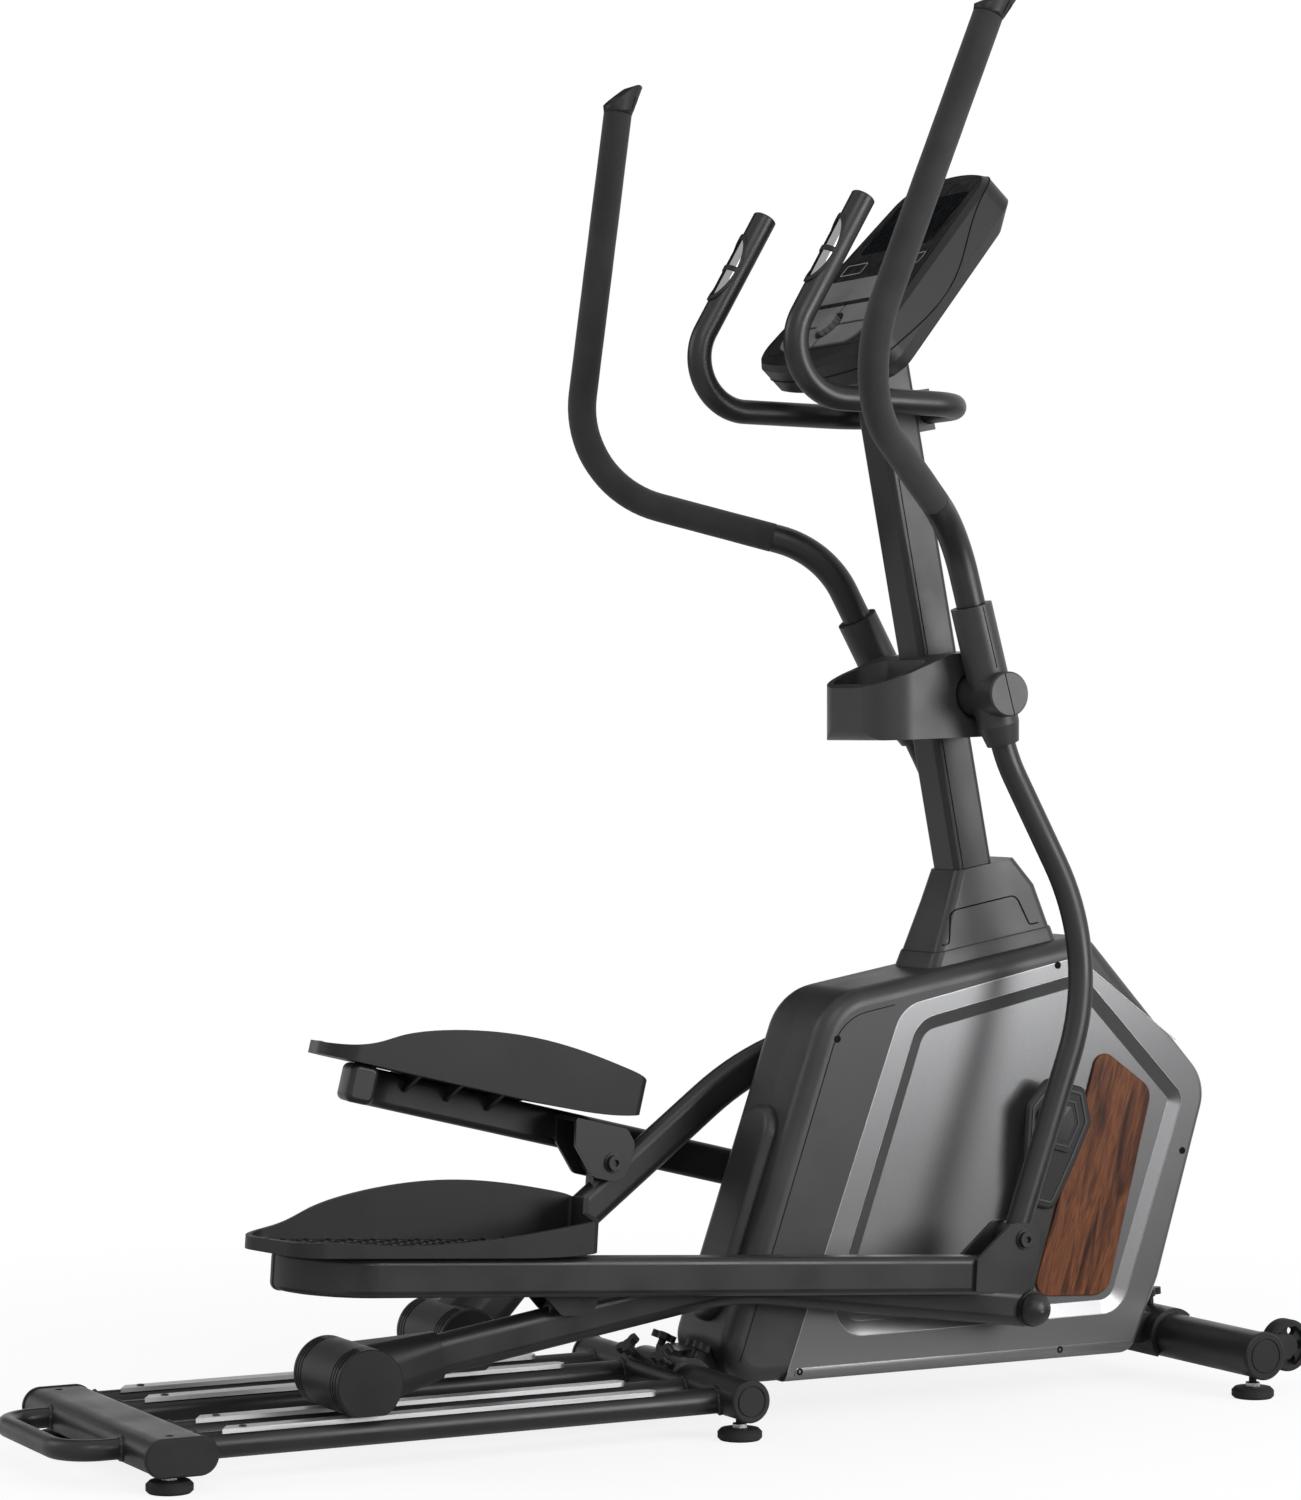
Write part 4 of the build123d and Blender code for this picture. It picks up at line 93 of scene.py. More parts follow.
GRIP_BEND = Vector((-0.317, 0.298, 0.367))
GRIP_TOP = Vector((-0.131, 0.300, 0.835))
GRIP_RADIUS, HANDLE_TUBE_RADIUS = 0.019, 0.017
PULSE_END = Vector((0.221, 0.126, 1.543))
PULSE_KNEE = Vector((0.073, 0.126, 1.290))
PULSE_RADIUS = 0.016
CONSOLE_ORIGIN = (0.320, 0, 1.472)
CONSOLE_TILT = math.radians(47.8)
CONSOLE_LOW, CONSOLE_TOP = -0.158, 0.158
CONSOLE_LOW_HALF, CONSOLE_TOP_HALF = 0.149, 0.105
WINDOW = (0, 0.082, 0.176, 0.096, 0.010)

# Sizes of the pieces made here: screws as (radius, height), lines as (width, height), ridges as
# (inset, width, height, edge), sections of slots as (half width, low, top)
COVER_SCREW, STRIP_SCREW, STRIP_SCREW_INSET = (0.0047, 0.0014), (0.0048, 0.0016), 0.030
FIELD_LINE, PANEL_LINE, GROOVE_LINE = (0.0008, 0.0003), (0.0011, 0.0004), (0.0012, 0.0003)
PANEL_FOOT_HEIGHT, PANEL_FOOT_EDGE, PANEL_FOOT_LEAN = 0.0008, 0.0003, 0.372
BOOT_FLANGE = ((0.0, 0.0022), (0.225, 0.0022), (0.242, 0.0018), (0.250, 0.0008),
               (0.252, -0.0010), (0.0, -0.0010))
BOOT_PATH = ((-0.076, 0.0268, 0), (-0.066, 0.027, 0.004), (-0.053, 0.068, 0.013),
             (0.049, 0.069, 0.012), (0.0605, 0.027, 0.004), (0.0745, 0.0268, 0))
BOOT_LINE, BOOT_LINE_STEP = (0.0018, 0.0010), 0.002
DRAPE_START, DRAPE_SINK = 0.020, 0.0002
COVER_RIDGE, STEP_RIDGE = (0.0075, 0.0034, 0.0012, 0.0005), (0.0055, 0.0026, 0.0011, 0.0004)
STEP_BOSS_INSET, STEP_BOSS_HEIGHT, STEP_BOSS_EDGE = 0.0135, 0.0008, 0.0003
WELD_RADIUS, WELD_RIPPLE, WELD_UNEVEN = 0.0027, 0.22, 0.08
NUT_CHAMFER_HEIGHT, NUT_CHAMFER = 0.0006, 0.0007
VENT_FIRST, VENT_SPAN, VENT_STEPS = 104, 46, 14
VENT_SECTION = (0.0013, -0.0012, 0.0004)
TREAD_ROWS, TREAD_REAR, TREAD_ROW_STEP = 24, -0.398, 0.0145
TREAD_COLUMNS, TREAD_INNER, TREAD_COLUMN_STEP, TREAD_STAGGER = 5, 0.104, 0.024, 0.012
TREAD_OUTER, TREAD_MARGIN = 0.206, 0.006
STUD = (0.0060, 0.0170, 0.0014)
FOAM_LIPS, FOAM_LIP, FOAM_UNEVEN = (0, 0.0002, 0.0005, 0.0009, 0.0020), 0.0008, 0.00022
SLEEVE_HUB_GAP, SLEEVE_FOAM_GAP = 0.0008, 0.0006
CAP_SLOT_TURNS = (-52, -30, -8, 14, 36, 58)
CAP_SLOT_LOW, CAP_SLOT_LENGTH, CAP_SLOT_STEPS = 0.005, 0.021, 8
CAP_SLOT_SECTION = (0.0013, -0.0012, 0.0002)
CAP_NARROWING = 0.001
HUB_LINE_HALF, HUB_LINE_LEVELS = 0.0006, (-0.0006, 0.0003)
HUB_LINE_MARGIN, HUB_LINE_START = 0.001, 0.006
PULSE_MIDDLE, PULSE_HALF_ALONG, PULSE_HALF_TURN = 0.086, 0.052, math.radians(72)
PULSE_WINDOW_MARGIN, PULSE_PLATE_MARGIN = (0.007, 0.24), (0.003, 0.08)
PULSE_CUTS, PULSE_LIFT = (0.0035, -0.0035), 0.0002
PULSE_PLATE_HEIGHT, PULSE_FRAME_HEIGHT, PULSE_FRAME_EDGE = 0.0008, 0.0022, 0.0005
PULSE_PLUG = ((0.0136, -0.006), (0.0136, 0), (0.0160, 0), (0.0160, 0.0010),
              (0.0148, 0.0022), (0.008, 0.0027))
WRAP_CUTS, WRAP_STEP = 13, 0.0015
OVERLAY_PANEL, OVERLAY_HEIGHT = (-0.0655, 0.153, 0.018, 0.012), 0.0004
BAR_PANEL, BAR_HEIGHT = (-0.060, -0.016, 0.027, 0.004), 0.0003
FACE_LINE_PANEL, FACE_LINE = (-0.150, 0.158, 0.0085, 0.032), (0.0012, 0.0002)
SLIM_WINDOWS = ((-0.067, 0.006, 0.052, 0.020, 0.003), (0.072, 0.006, 0.062, 0.020, 0.003))
WINDOW_LINE = (0.0009, 0.0002)
SEAM_GAP, SEAM_RADIUS = 0.0004, 0.0010


# Finishes


def principled(name, color, roughness, **constants):
    """Material whose constant values sit on the shader's own sockets."""
    mat = bpy.data.materials.new(name)
    mat.use_nodes = True
    shader = shader_of(mat)
    shader.inputs["Base Color"].default_value = (*color, 1)
    shader.inputs["Roughness"].default_value = roughness
    for socket, value in constants.items():
        shader.inputs[socket.replace("_", " ")].default_value = value
    return mat


def shader_of(mat):
    return mat.node_tree.nodes["Principled BSDF"]


def add(mat, kind, **values):
    """New shader node with values on its inputs."""
    made = mat.node_tree.nodes.new("ShaderNode" + kind)
    for socket, value in values.items():
        made.inputs[socket.replace("_", " ")].default_value = value
    return made


def link(mat, source, target, socket, output=0):
    mat.node_tree.links.new(source.outputs[output], target.inputs[socket])


def grain(mat, scale, stretch=(1, 1, 1), turn=0.0, detail=3.0, distortion=0.0):
    """Noise in the part's own frame, drawn out along the axes after a turn about Y."""
    coords = add(mat, "TexCoord")
    mapping = add(mat, "Mapping", Rotation=(0, turn, 0), Scale=stretch)
    mapping.vector_type = "TEXTURE"
    link(mat, coords, mapping, "Vector", "Object")
    texture = add(mat, "TexNoise", Scale=scale, Detail=detail, Distortion=distortion)
    link(mat, mapping, texture, "Vector")
    return texture


def vary_roughness(mat, source, low, high):
    """Roughness that runs from low to high with the pattern."""
    spread = add(mat, "MapRange", From_Min=0.3, From_Max=0.7, To_Min=low, To_Max=high)
    link(mat, source, spread, "Value")
    link(mat, spread, shader_of(mat), "Roughness")


def color_ramp(mat, source, stops):
    """Colours at places along the pattern, as (place, colour)."""
    ramp = add(mat, "ValToRGB")
    elements = ramp.color_ramp.elements
    while len(elements) < len(stops):
        elements.new(0.5)
    for element, (place, color) in zip(elements, stops):
        element.position = place
        element.color = (*color, 1)
    link(mat, source, ramp, "Fac")
    return ramp


def vary_color(mat, source, dark, light):
    """Base colour between two shades of the same finish."""
    ramp = color_ramp(mat, source, ((0.3, dark), (0.7, light)))
    link(mat, ramp, shader_of(mat), "Base Color")


def normal_chain(mat, made):
    """Put a node that makes normals after those already there."""
    target = shader_of(mat).inputs["Normal"]
    if target.links and "Normal" in made.inputs:
        mat.node_tree.links.new(target.links[0].from_socket, made.inputs["Normal"])
    mat.node_tree.links.new(made.outputs["Normal"], target)


def relief(mat, source, depth, strength=1.0):
    """Raise the surface with the pattern."""
    bump = add(mat, "Bump", Strength=strength, Distance=depth)
    link(mat, source, bump, "Height")
    normal_chain(mat, bump)


def soft_edges(mat, radius):
    """Round the edges a little where light catches them."""
    bevel = add(mat, "Bevel", Radius=radius)
    bevel.samples = 4
    normal_chain(mat, bevel)


def moulded(name, color, roughness, pebble, depth, edge=0.0008, spread=0.06, **constants):
    """Paint or plastic: fine pebbled relief, cloudy gloss and a slight change of shade."""
    mat = principled(name, color, roughness, **constants)
    soft_edges(mat, edge)
    cloud = grain(mat, 14, detail=4)
    vary_roughness(mat, cloud, roughness - spread, roughness + spread)
    vary_color(mat, cloud, [c * 0.86 for c in color], [min(1, c * 1.14) for c in color])
    relief(mat, grain(mat, pebble, detail=2), depth)
    return mat


def brushed(name, color, roughness, stretch, scale=260, depth=0.00004):
    """Metal with fine lines drawn out along one axis."""
    mat = principled(name, color, roughness, Metallic=1.0)
    soft_edges(mat, 0.0005)
    lines = grain(mat, scale, stretch=stretch, detail=5)
    vary_roughness(mat, lines, roughness - 0.08, roughness + 0.12)
    vary_color(mat, grain(mat, 30, stretch=stretch), [c * 0.88 for c in color], color)
    relief(mat, lines, depth, 0.6)
    return mat


def satin_paint(name, color, roughness):
    """Metallic paint: small flakes over a soft sheen."""
    mat = principled(name, color, roughness, Metallic=0.76, Specular_IOR_Level=0.4)
    soft_edges(mat, 0.0012)
    flakes = grain(mat, 2600, detail=1)
    vary_color(mat, flakes, [c * 0.86 for c in color], [min(1, c * 1.16) for c in color])
    vary_roughness(mat, grain(mat, 7, detail=2), roughness - 0.006, roughness + 0.008)
    relief(mat, grain(mat, 900, detail=2), 0.00001)
    return mat


def walnut(name):
    """Lacquered veneer: long reddish figure, darker streaks and fine open pores."""
    mat = principled(name, (0.16, 0.062, 0.030), 0.44, Specular_IOR_Level=0.16)
    soft_edges(mat, 0.0008)
    lean = math.radians(16)
    figure = grain(mat, 11, stretch=(0.14, 0.14, 1.1), turn=lean, detail=7, distortion=0.7)
    figure_color = color_ramp(mat, figure, (
        (0.30, (0.026, 0.0082, 0.0034)), (0.44, (0.070, 0.0218, 0.0078)),
        (0.56, (0.130, 0.042, 0.0145)), (0.70, (0.082, 0.026, 0.0092))))
    pores = grain(mat, 95, stretch=(0.055, 0.055, 2.2), turn=lean, detail=4)
    pore_color = color_ramp(mat, pores, ((0.38, (0.42, 0.38, 0.36)), (0.54, (1, 1, 1))))
    mixed = add(mat, "MixRGB", Fac=1.0)
    mixed.blend_type = "MULTIPLY"
    link(mat, figure_color, mixed, "Color1")
    link(mat, pore_color, mixed, "Color2")
    link(mat, mixed, shader_of(mat), "Base Color")
    vary_roughness(mat, figure, 0.38, 0.50)
    relief(mat, pores, 0.00012, 0.5)
    return mat


def foam_finish(name, color):
    """Closed-cell foam: matt, with a close pattern of small pores."""
    mat = principled(name, color, 0.82, Sheen_Weight=0.12, Specular_IOR_Level=0.3)
    cells = grain(mat, 1400, detail=2)
    vary_color(mat, cells, [c * 0.7 for c in color], [c * 1.2 for c in color])
    vary_roughness(mat, grain(mat, 20), 0.74, 0.9)
    relief(mat, cells, 0.0003, 0.7)
    return mat


def glossy(name, color, roughness, **constants):
    """Polished surface with faint wiping marks."""
    mat = principled(name, color, roughness, **constants)
    soft_edges(mat, 0.0004)
    smears = grain(mat, 45, stretch=(1, 0.3, 1), detail=4, distortion=0.4)
    vary_roughness(mat, smears, roughness * 0.6, roughness * 1.6)
    vary_color(mat, smears, [c * 0.92 for c in color], color)
    return mat


FINISH = {
    "black_metal": moulded("black_metal", (0.013, 0.013, 0.0135), 0.38, 1100, 0.00006,
                           Specular_IOR_Level=0.30),
    "dark_plastic": moulded("dark_plastic", (0.024, 0.024, 0.025), 0.40, 2200, 0.00005,
                            Specular_IOR_Level=0.30),
    "black_plastic": moulded("black_plastic", (0.012, 0.012, 0.0125), 0.44, 1700, 0.00007,
                             Specular_IOR_Level=0.21),
    "satin_panel": satin_paint("satin_panel", (0.160, 0.161, 0.164), 0.285),
    "wood": walnut("wood"),
    "aluminium": brushed("aluminium", (0.56, 0.56, 0.57), 0.42, (30, 1, 1), depth=0.00002),
    "steel": brushed("steel", (0.45, 0.45, 0.46), 0.32, (1, 20, 1)),
    "bolts": brushed("bolts", (0.40, 0.40, 0.41), 0.34, (1, 1, 4)),
    "rubber": moulded("rubber", (0.012, 0.012, 0.0125), 0.66, 800, 0.00010, Specular_IOR_Level=0.2),
    "foam": foam_finish("foam", (0.014, 0.014, 0.0145)),
    "chrome": glossy("chrome", (0.34, 0.34, 0.35), 0.10, Metallic=1.0),
    "window": glossy("window", (0.005, 0.0055, 0.0065), 0.22, Specular_IOR_Level=0.12),
    "grey_plastic": moulded("grey_plastic", (0.165, 0.165, 0.168), 0.42, 1500, 0.00004,
                            Specular_IOR_Level=0.2),
    "iron": moulded("iron", (0.10, 0.10, 0.105), 0.55, 400, 0.0002, Metallic=0.4),
}
PALER_NODES = ("bottle_tray", "swing_hub_right", "swing_hub_left")
OVERLAY = glossy("overlay", (0.0105, 0.0105, 0.011), 0.34, Specular_IOR_Level=0.25)
# Lighter satin paint for the thin lines along the panel's field and seam: painted highlights on their edges.
EDGE_HIGHLIGHT = satin_paint("edge_line", (0.36, 0.36, 0.365), 0.30)
PRINT = moulded("white_print", (0.46, 0.46, 0.47), 0.5, 1800, 0.00002, edge=0.0001)
SHADOW_LINE = moulded("shadow_line", (0.004, 0.004, 0.004), 0.75, 1800, 0.00002, edge=0.0001,
                      Specular_IOR_Level=0.1)


def dress_cad_nodes():
    """Give each CAD node the finish of its material slot, and the tray and hubs a paler plastic."""
    for row in frame["record"]["subparts"]:
        mesh = NODES[row["node"]].data
        mesh.materials.clear()
        finish = "dark_plastic" if row["node"] in PALER_NODES else row["material_slot"]
        mesh.materials.append(FINISH[finish])


# Mesh helpers


def mesh_from(verts, faces):
    mesh = bpy.data.meshes.new("work")
    mesh.from_pydata([tuple(v) for v in verts], [], faces)
    return mesh


def new_object(name, data):
    """Object in the scene that holds a mesh, lamp or camera."""
    obj = bpy.data.objects.new(name, data)
    bpy.context.scene.collection.objects.link(obj)
    return obj


def piece(name, body, meshes, slot=None, material=None, sharp=35):
    """One named piece from closed meshes, riding on a CAD body."""
    work = bmesh.new()
    for mesh in meshes:
        work.from_mesh(mesh)
        bpy.data.meshes.remove(mesh)
    bmesh.ops.remove_doubles(work, verts=work.verts, dist=1e-7)
    bmesh.ops.recalc_face_normals(work, faces=work.faces)
    result = bpy.data.meshes.new(name)
    work.to_mesh(result)
    work.free()
    result.shade_smooth()
    result.set_sharp_from_angle(angle=math.radians(sharp))
    result.materials.append(material or FINISH[slot])
    obj = new_object(name, result)
    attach(obj, body)
    return obj


def loops_mesh(loops, closed=False):
    """Skin of quads through loops of equally many points, with flat ends unless it closes."""
    count = len(loops[0])
    verts = [point for loop in loops for point in loop]
    faces = []
    spans = len(loops) if closed else len(loops) - 1
    for i in range(spans):
        a, b = i * count, (i + 1) % len(loops) * count
        for k in range(count):
            n = (k + 1) % count
            faces.append((a + k, a + n, b + n, b + k))
    if not closed:
        faces.append(tuple(reversed(range(count))))
        faces.append(tuple(range((len(loops) - 1) * count, len(loops) * count)))
    return mesh_from(verts, faces)


def circle(count):
    """Angles of equally spaced points round a circle."""
    return [2 * math.pi * k / count for k in range(count)]


def oblong(half, low, top):
    """Corners of a rectangle, anticlockwise: half its width each way, from one level to another."""
    return ((-half, low), (half, low), (half, top), (-half, top))


def ring_at(place, sizes, level):
    """Points round the place's z axis at a level, each with its own radius."""
    points = []
    for size, turn in zip(sizes, circle(len(sizes))):
        points.append(place @ Vector((size * math.cos(turn), size * math.sin(turn), level)))
    return points


def lathe(profile, place, count=32):
    """Turned piece from (radius, height) points about the place's z axis."""
    return loops_mesh([ring_at(place, [radius] * count, height) for radius, height in profile])


def plate(outlines, place, thickness, edge=0.0):
    """Flat plate standing on a plane: its outline, holes in it, and rounded edges."""
    curve = bpy.data.curves.new("work", "CURVE")
    curve.dimensions = "2D"
    curve.fill_mode = "BOTH"
    curve.extrude = thickness / 2 - edge
    curve.bevel_depth = edge
    curve.bevel_resolution = 2
    curve.offset = -edge
    for points in outlines:
        spline = curve.splines.new("POLY")
        spline.points.add(len(points) - 1)
        for point, (u, v) in zip(spline.points, points):
            point.co = (u, v, 0, 1)
        spline.use_cyclic_u = True
    holder = bpy.data.objects.new("work", curve)
    mesh = bpy.data.meshes.new_from_object(holder)
    bpy.data.objects.remove(holder)
    bpy.data.curves.remove(curve)
    mesh.transform(place @ Matrix.Translation((0, 0, thickness / 2)))
    return mesh


def rounded_corners(corners, steps=8):
    """Points round a polygon whose corners (u, v, radius) are rounded."""
    points = []
    for i, (u, v, radius) in enumerate(corners):
        here = Vector((u, v))
        back = (Vector(corners[i - 1][:2]) - here).normalized()
        ahead = (Vector(corners[(i + 1) % len(corners)][:2]) - here).normalized()
        half = back.angle(ahead) / 2
        reach = radius / math.tan(half)
        start, end = here + back * reach, here + ahead * reach
        centre = here + (back + ahead).normalized() * radius / math.sin(half)
        for k in range(steps + 1):
            arm = (start - centre).lerp(end - centre, k / steps)
            points.append(centre + arm.normalized() * radius if radius else here)
    return [(p.x, p.y) for p in points]


def inset_corners(corners, amount):
    """Corners moved inward by an amount, for corners that run anticlockwise."""
    lines = []
    for i, (u, v, _) in enumerate(corners):
        run = (Vector(corners[(i + 1) % len(corners)][:2]) - Vector((u, v))).normalized()
        lines.append((Vector((u, v)) + Vector((-run.y, run.x)) * amount, run))
    moved = []
    for i, (_, _, radius) in enumerate(corners):
        (p, d), (q, e) = lines[i - 1], lines[i]
        along = (q - p).cross(e) / d.cross(e)
        spot = p + d * along
        moved.append((spot.x, spot.y, max(0.002, radius - amount)))
    return moved


def ring_line(corners, width):
    """Outline of a narrow line that follows rounded corners, as an edge and a hole."""
    return [rounded_corners(corners), rounded_corners(inset_corners(corners, width))]


def open_line(corners, width, step=1.0):
    """Outline of a narrow line along an open path with rounded corners, in steps up to a length."""
    points = [Vector(p) for p in rounded_corners(corners)]
    path = points[:1]
    for point in points[1:]:
        last, run = path[-1], (point - path[-1]).length
        if run > 1e-6:
            count = math.ceil(run / step)
            path += [last.lerp(point, k / count) for k in range(1, count + 1)]
    left, right = [], []
    for i, point in enumerate(path):
        run = (path[min(i + 1, len(path) - 1)] - path[max(i - 1, 0)]).normalized()
        side = Vector((-run.y, run.x)) * width / 2
        left.append(tuple(point + side))
        right.append(tuple(point - side))
    return [left + right[::-1]]


def box_corners(u, v, wide, high, radius):
    """Corners of a rounded rectangle about a middle point, anticlockwise."""
    return tuple((u + a, v + b, radius) for a, b in oblong(wide / 2, -high / 2, high / 2))


def plane(origin, u, v):
    """Place whose x and y follow two directions."""
    u, v = Vector(u).normalized(), Vector(v).normalized()
    return Matrix.Translation(origin) @ Matrix((u, v, u.cross(v))).transposed().to_4x4()


def skin_tree(node):
    """Search tree over a CAD node's faces."""
    skin = NODES[node].data
    points = [v.co for v in skin.vertices]
    return BVHTree.FromPolygons(points, [tuple(f.vertices) for f in skin.polygons])


def drape(mesh, place, node):
    """Lay a flat mesh on a CAD node's skin, along the normal of its plane, and sink it a little."""
    tree = skin_tree(node)
    normal = place.to_3x3() @ Vector((0, 0, 1))
    for vert in mesh.vertices:
        height = (vert.co - place.translation).dot(normal)
        start = vert.co + normal * (DRAPE_START - height)
        vert.co = tree.ray_cast(start, -normal)[0] + normal * (height - DRAPE_SINK)


def mirrored(mesh):
    """Copy of a mesh on the other side of the machine."""
    copy = mesh.copy()
    copy.transform(Matrix.Scale(-1, 4, (0, 1, 0)))
    return copy


def both_sides(meshes):
    """The meshes and their copies on the other side."""
    return meshes + [mirrored(mesh) for mesh in meshes]


def swept_loops(path, radii, count):
    """Rings round a path, kept from twisting."""
    loops = []
    ahead = (path[1] - path[0]).normalized()
    side = ahead.orthogonal().normalized()
    for i, point in enumerate(path):
        run = (path[min(i + 1, len(path) - 1)] - path[max(i - 1, 0)]).normalized()
        side = ahead.rotation_difference(run) @ side
        ahead = run
        up = run.cross(side)
        loops.append([point + (side * math.cos(t) + up * math.sin(t)) * radii[i] for t in circle(count)])
    return loops


def bend(corner, back, ahead, radius, steps):
    """Round a corner between two straight runs: where the bend starts, its points, where it ends."""
    half = back.angle(ahead) / 2
    reach = radius / math.tan(half)
    centre = corner + (back + ahead).normalized() * radius / math.sin(half)
    first, last = corner + back * reach, corner + ahead * reach
    arm = first - centre
    swing, axis = arm.angle(last - centre), arm.cross(last - centre)
    arc = [centre + Matrix.Rotation(swing * k / steps, 3, axis) @ arm for k in range(steps + 1)]
    return first, arc, last


# Housing


def screw(place, radius, height):
    """Button head with a hexagon socket, standing on the place's z axis."""
    count = 24
    socket = [radius * 0.42 / math.cos((t % (math.pi / 3)) - math.pi / 6) for t in circle(count)]
    head = ((radius, -0.0006), (radius, height * 0.55), (radius * 0.9, height * 0.88),
            (radius * 0.7, height))
    loops = [ring_at(place, [size] * count, level) for size, level in head]
    loops += [ring_at(place, socket, level) for level in (height, height * 0.3)]
    return loops_mesh(loops)


def make_housing_details():
    """Screws, seam lines and foot strips of the covers and panels: the lighter lines along the field and the
    panel's seam are painted highlights, and the screw heads and the cover's groove line are near-black painted
    shade.
    """
    side = plane((0, -HOUSING_SIDE, 0), (1, 0, 0), (0, 0, 1))
    heads = [screw(side @ Matrix.Translation((x, z, 0)), *COVER_SCREW) for x, z in COVER_SCREWS]
    # The screw heads are in the near-black shadow_line finish: painted shade of the recessed holes they sit in.
    piece("cover_screws", "frame", both_sides(heads), "black_metal", SHADOW_LINE)
    # The lighter lines along the field's outline and the panel's seam are painted highlights on those edges.
    edges = [plate(ring_line(FIELD_CORNERS, FIELD_LINE[0]), side, FIELD_LINE[1]),
             plate(open_line(PANEL_SEAM, PANEL_LINE[0]), side, PANEL_LINE[1])]
    piece("panel_edge_lines", "frame", both_sides(edges), material=EDGE_HIGHLIGHT)
    # Near-black line on the cover: painted shade of its groove.
    groove = plate(open_line(COVER_LINE, GROOVE_LINE[0]), side, GROOVE_LINE[1])
    piece("cover_lines", "frame", both_sides([groove]), material=SHADOW_LINE)
    rear, front, low, top = PANEL_FOOT
    lean = (top - low) * PANEL_FOOT_LEAN
    strip = ((rear, low), (front, low), (front + lean, top), (rear + lean, top))
    foot = plate([strip], side, PANEL_FOOT_HEIGHT, PANEL_FOOT_EDGE)
    piece("panel_feet", "frame", both_sides([foot]), "satin_panel")


def boot_ring(share, grow):
    """Ring round the boot at a share of the way from its foot to its waist."""
    foot, waist = Vector(BOOT_FOOT), Vector(BOOT_WAIST)
    middle = foot.lerp(waist, share)
    half = BOOT_HALF_LENGTHS[0] + (BOOT_HALF_LENGTHS[1] - BOOT_HALF_LENGTHS[0]) * share + grow
    wide = middle.y + grow
    turn = Matrix.Translation((middle.x, 0, middle.z)) @ Matrix.Rotation(-HOUSING_SLOPE, 4, "Y")
    outline = rounded_corners(box_corners(0, 0, 2 * half, 2 * wide, BOOT_CORNER + grow))
    return [turn @ Vector((u, v, 0)) for u, v in outline]


def make_boot_details():
    """Flange round the boot's foot, and a near-black line of painted shade for the groove on its sides."""
    flange = loops_mesh([boot_ring(share, grow) for share, grow in BOOT_FLANGE], closed=True)
    piece("boot_flange", "frame", [flange], "dark_plastic", sharp=30)
    rise = Vector(BOOT_WAIST) - Vector(BOOT_FOOT)
    along = Vector((math.cos(HOUSING_SLOPE), 0, math.sin(HOUSING_SLOPE)))
    rise.y = -rise.y
    foot = Vector((BOOT_FOOT[0], -BOOT_FOOT[1], BOOT_FOOT[2]))
    face = plane(foot, along, rise - along * rise.dot(along))
    line = plate(open_line(BOOT_PATH, BOOT_LINE[0], BOOT_LINE_STEP), face, BOOT_LINE[1])
    drape(line, face, "mast_boot")
    piece("boot_lines", "frame", both_sides([line]), material=SHADOW_LINE)


def ridge(corners, place, inset, width, height, edge):
    """Bevelled ridge that follows an outline inside its edge."""
    return plate(ring_line(inset_corners(corners, inset), width), place, height, edge)


def make_crank_details():
    """Bevelled ridges on the crank covers."""
    ridges = []
    centre = JOINT["crank_spin"]
    for name, sign in SIDES.items():
        turn = CRANK_PIN_TURNS[name]
        u, v = (math.cos(turn), 0, math.sin(turn)), (-math.sin(turn), 0, math.cos(turn))
        face = plane((centre.x, -COVER_FACE, centre.z), u, v)
        top = plane((centre.x, -COVER_STEP_FACE, centre.z), u, v)
        boss = rounded_corners(inset_corners(COVER_STEP, STEP_BOSS_INSET))
        made = [ridge(COVER_OUTLINE, face, *COVER_RIDGE),
                ridge(COVER_STEP, top, *STEP_RIDGE),
                plate([boss], top, STEP_BOSS_HEIGHT, STEP_BOSS_EDGE)]
        if sign > 0:
            made = [mirrored(mesh) for mesh in made]
        ridges += made
    piece("crank_cover_ridges", "crank", ridges, "dark_plastic", sharp=25)


# Rails


def bead(path, phase):
    """Weld bead along a closed path, with the ripples of its passes."""
    count = len(path)
    middle = sum(path, Vector()) / count
    loops = []
    for i, point in enumerate(path):
        run = (path[(i + 1) % count] - path[i - 1]).normalized()
        out = point - middle
        out = (out - run * out.dot(run)).normalized()
        up = run.cross(out)
        ripple = WELD_RIPPLE * math.cos(phase + i * math.pi * 0.5)
        swell = WELD_RADIUS * (1 + ripple + WELD_UNEVEN * noise.noise(point * 300))
        loops.append([point + (out * math.cos(t) + up * math.sin(t)) * swell for t in circle(8)])
    return loops_mesh(loops, closed=True)


def weld_path(y, tube, z_middle, surface):
    """Where a tube along X meets a cross tube whose surface gives x at each height."""
    path = []
    for turn in circle(48):
        z = z_middle + tube * math.sin(turn)
        path.append(Vector((surface(z), y + tube * math.cos(turn), z)))
    return path


def rear_face(z, sign):
    """The rear stabiliser's rounded face at a height, in front (1) or behind (-1)."""
    return REAR_X + sign * (REAR_HALF_FLAT + math.sqrt(REAR_RADIUS**2 - (z - REAR_Z) ** 2))


def mid_face(z):
    """The mid stabiliser's rear face at a height."""
    return MID_X - math.sqrt(MID_RADIUS**2 - (z - MID_Z) ** 2)


def make_rail_details():
    """Weld beads of the rail frame and the screws of the running strips."""
    beads, heads = [], []
    for sign in SIDES.values():
        for y in RAILS:
            for surface in (lambda z: rear_face(z, 1), mid_face):
                beads.append(bead(weld_path(sign * y, RAIL_RADIUS, RAIL_Z, surface), y))
            spot = Matrix.Translation((STRIP_REAR + STRIP_SCREW_INSET, sign * y, STRIP_TOP))
            heads.append(screw(spot, *STRIP_SCREW))
        path = weld_path(sign * HANDLE_Y, HANDLE_RADIUS, REAR_Z, lambda z: rear_face(z, -1))
        beads.append(bead(path, sign))
    piece("rail_welds", "frame", beads, "black_metal", sharp=80)
    piece("strip_screws", "frame", heads, "black_metal")


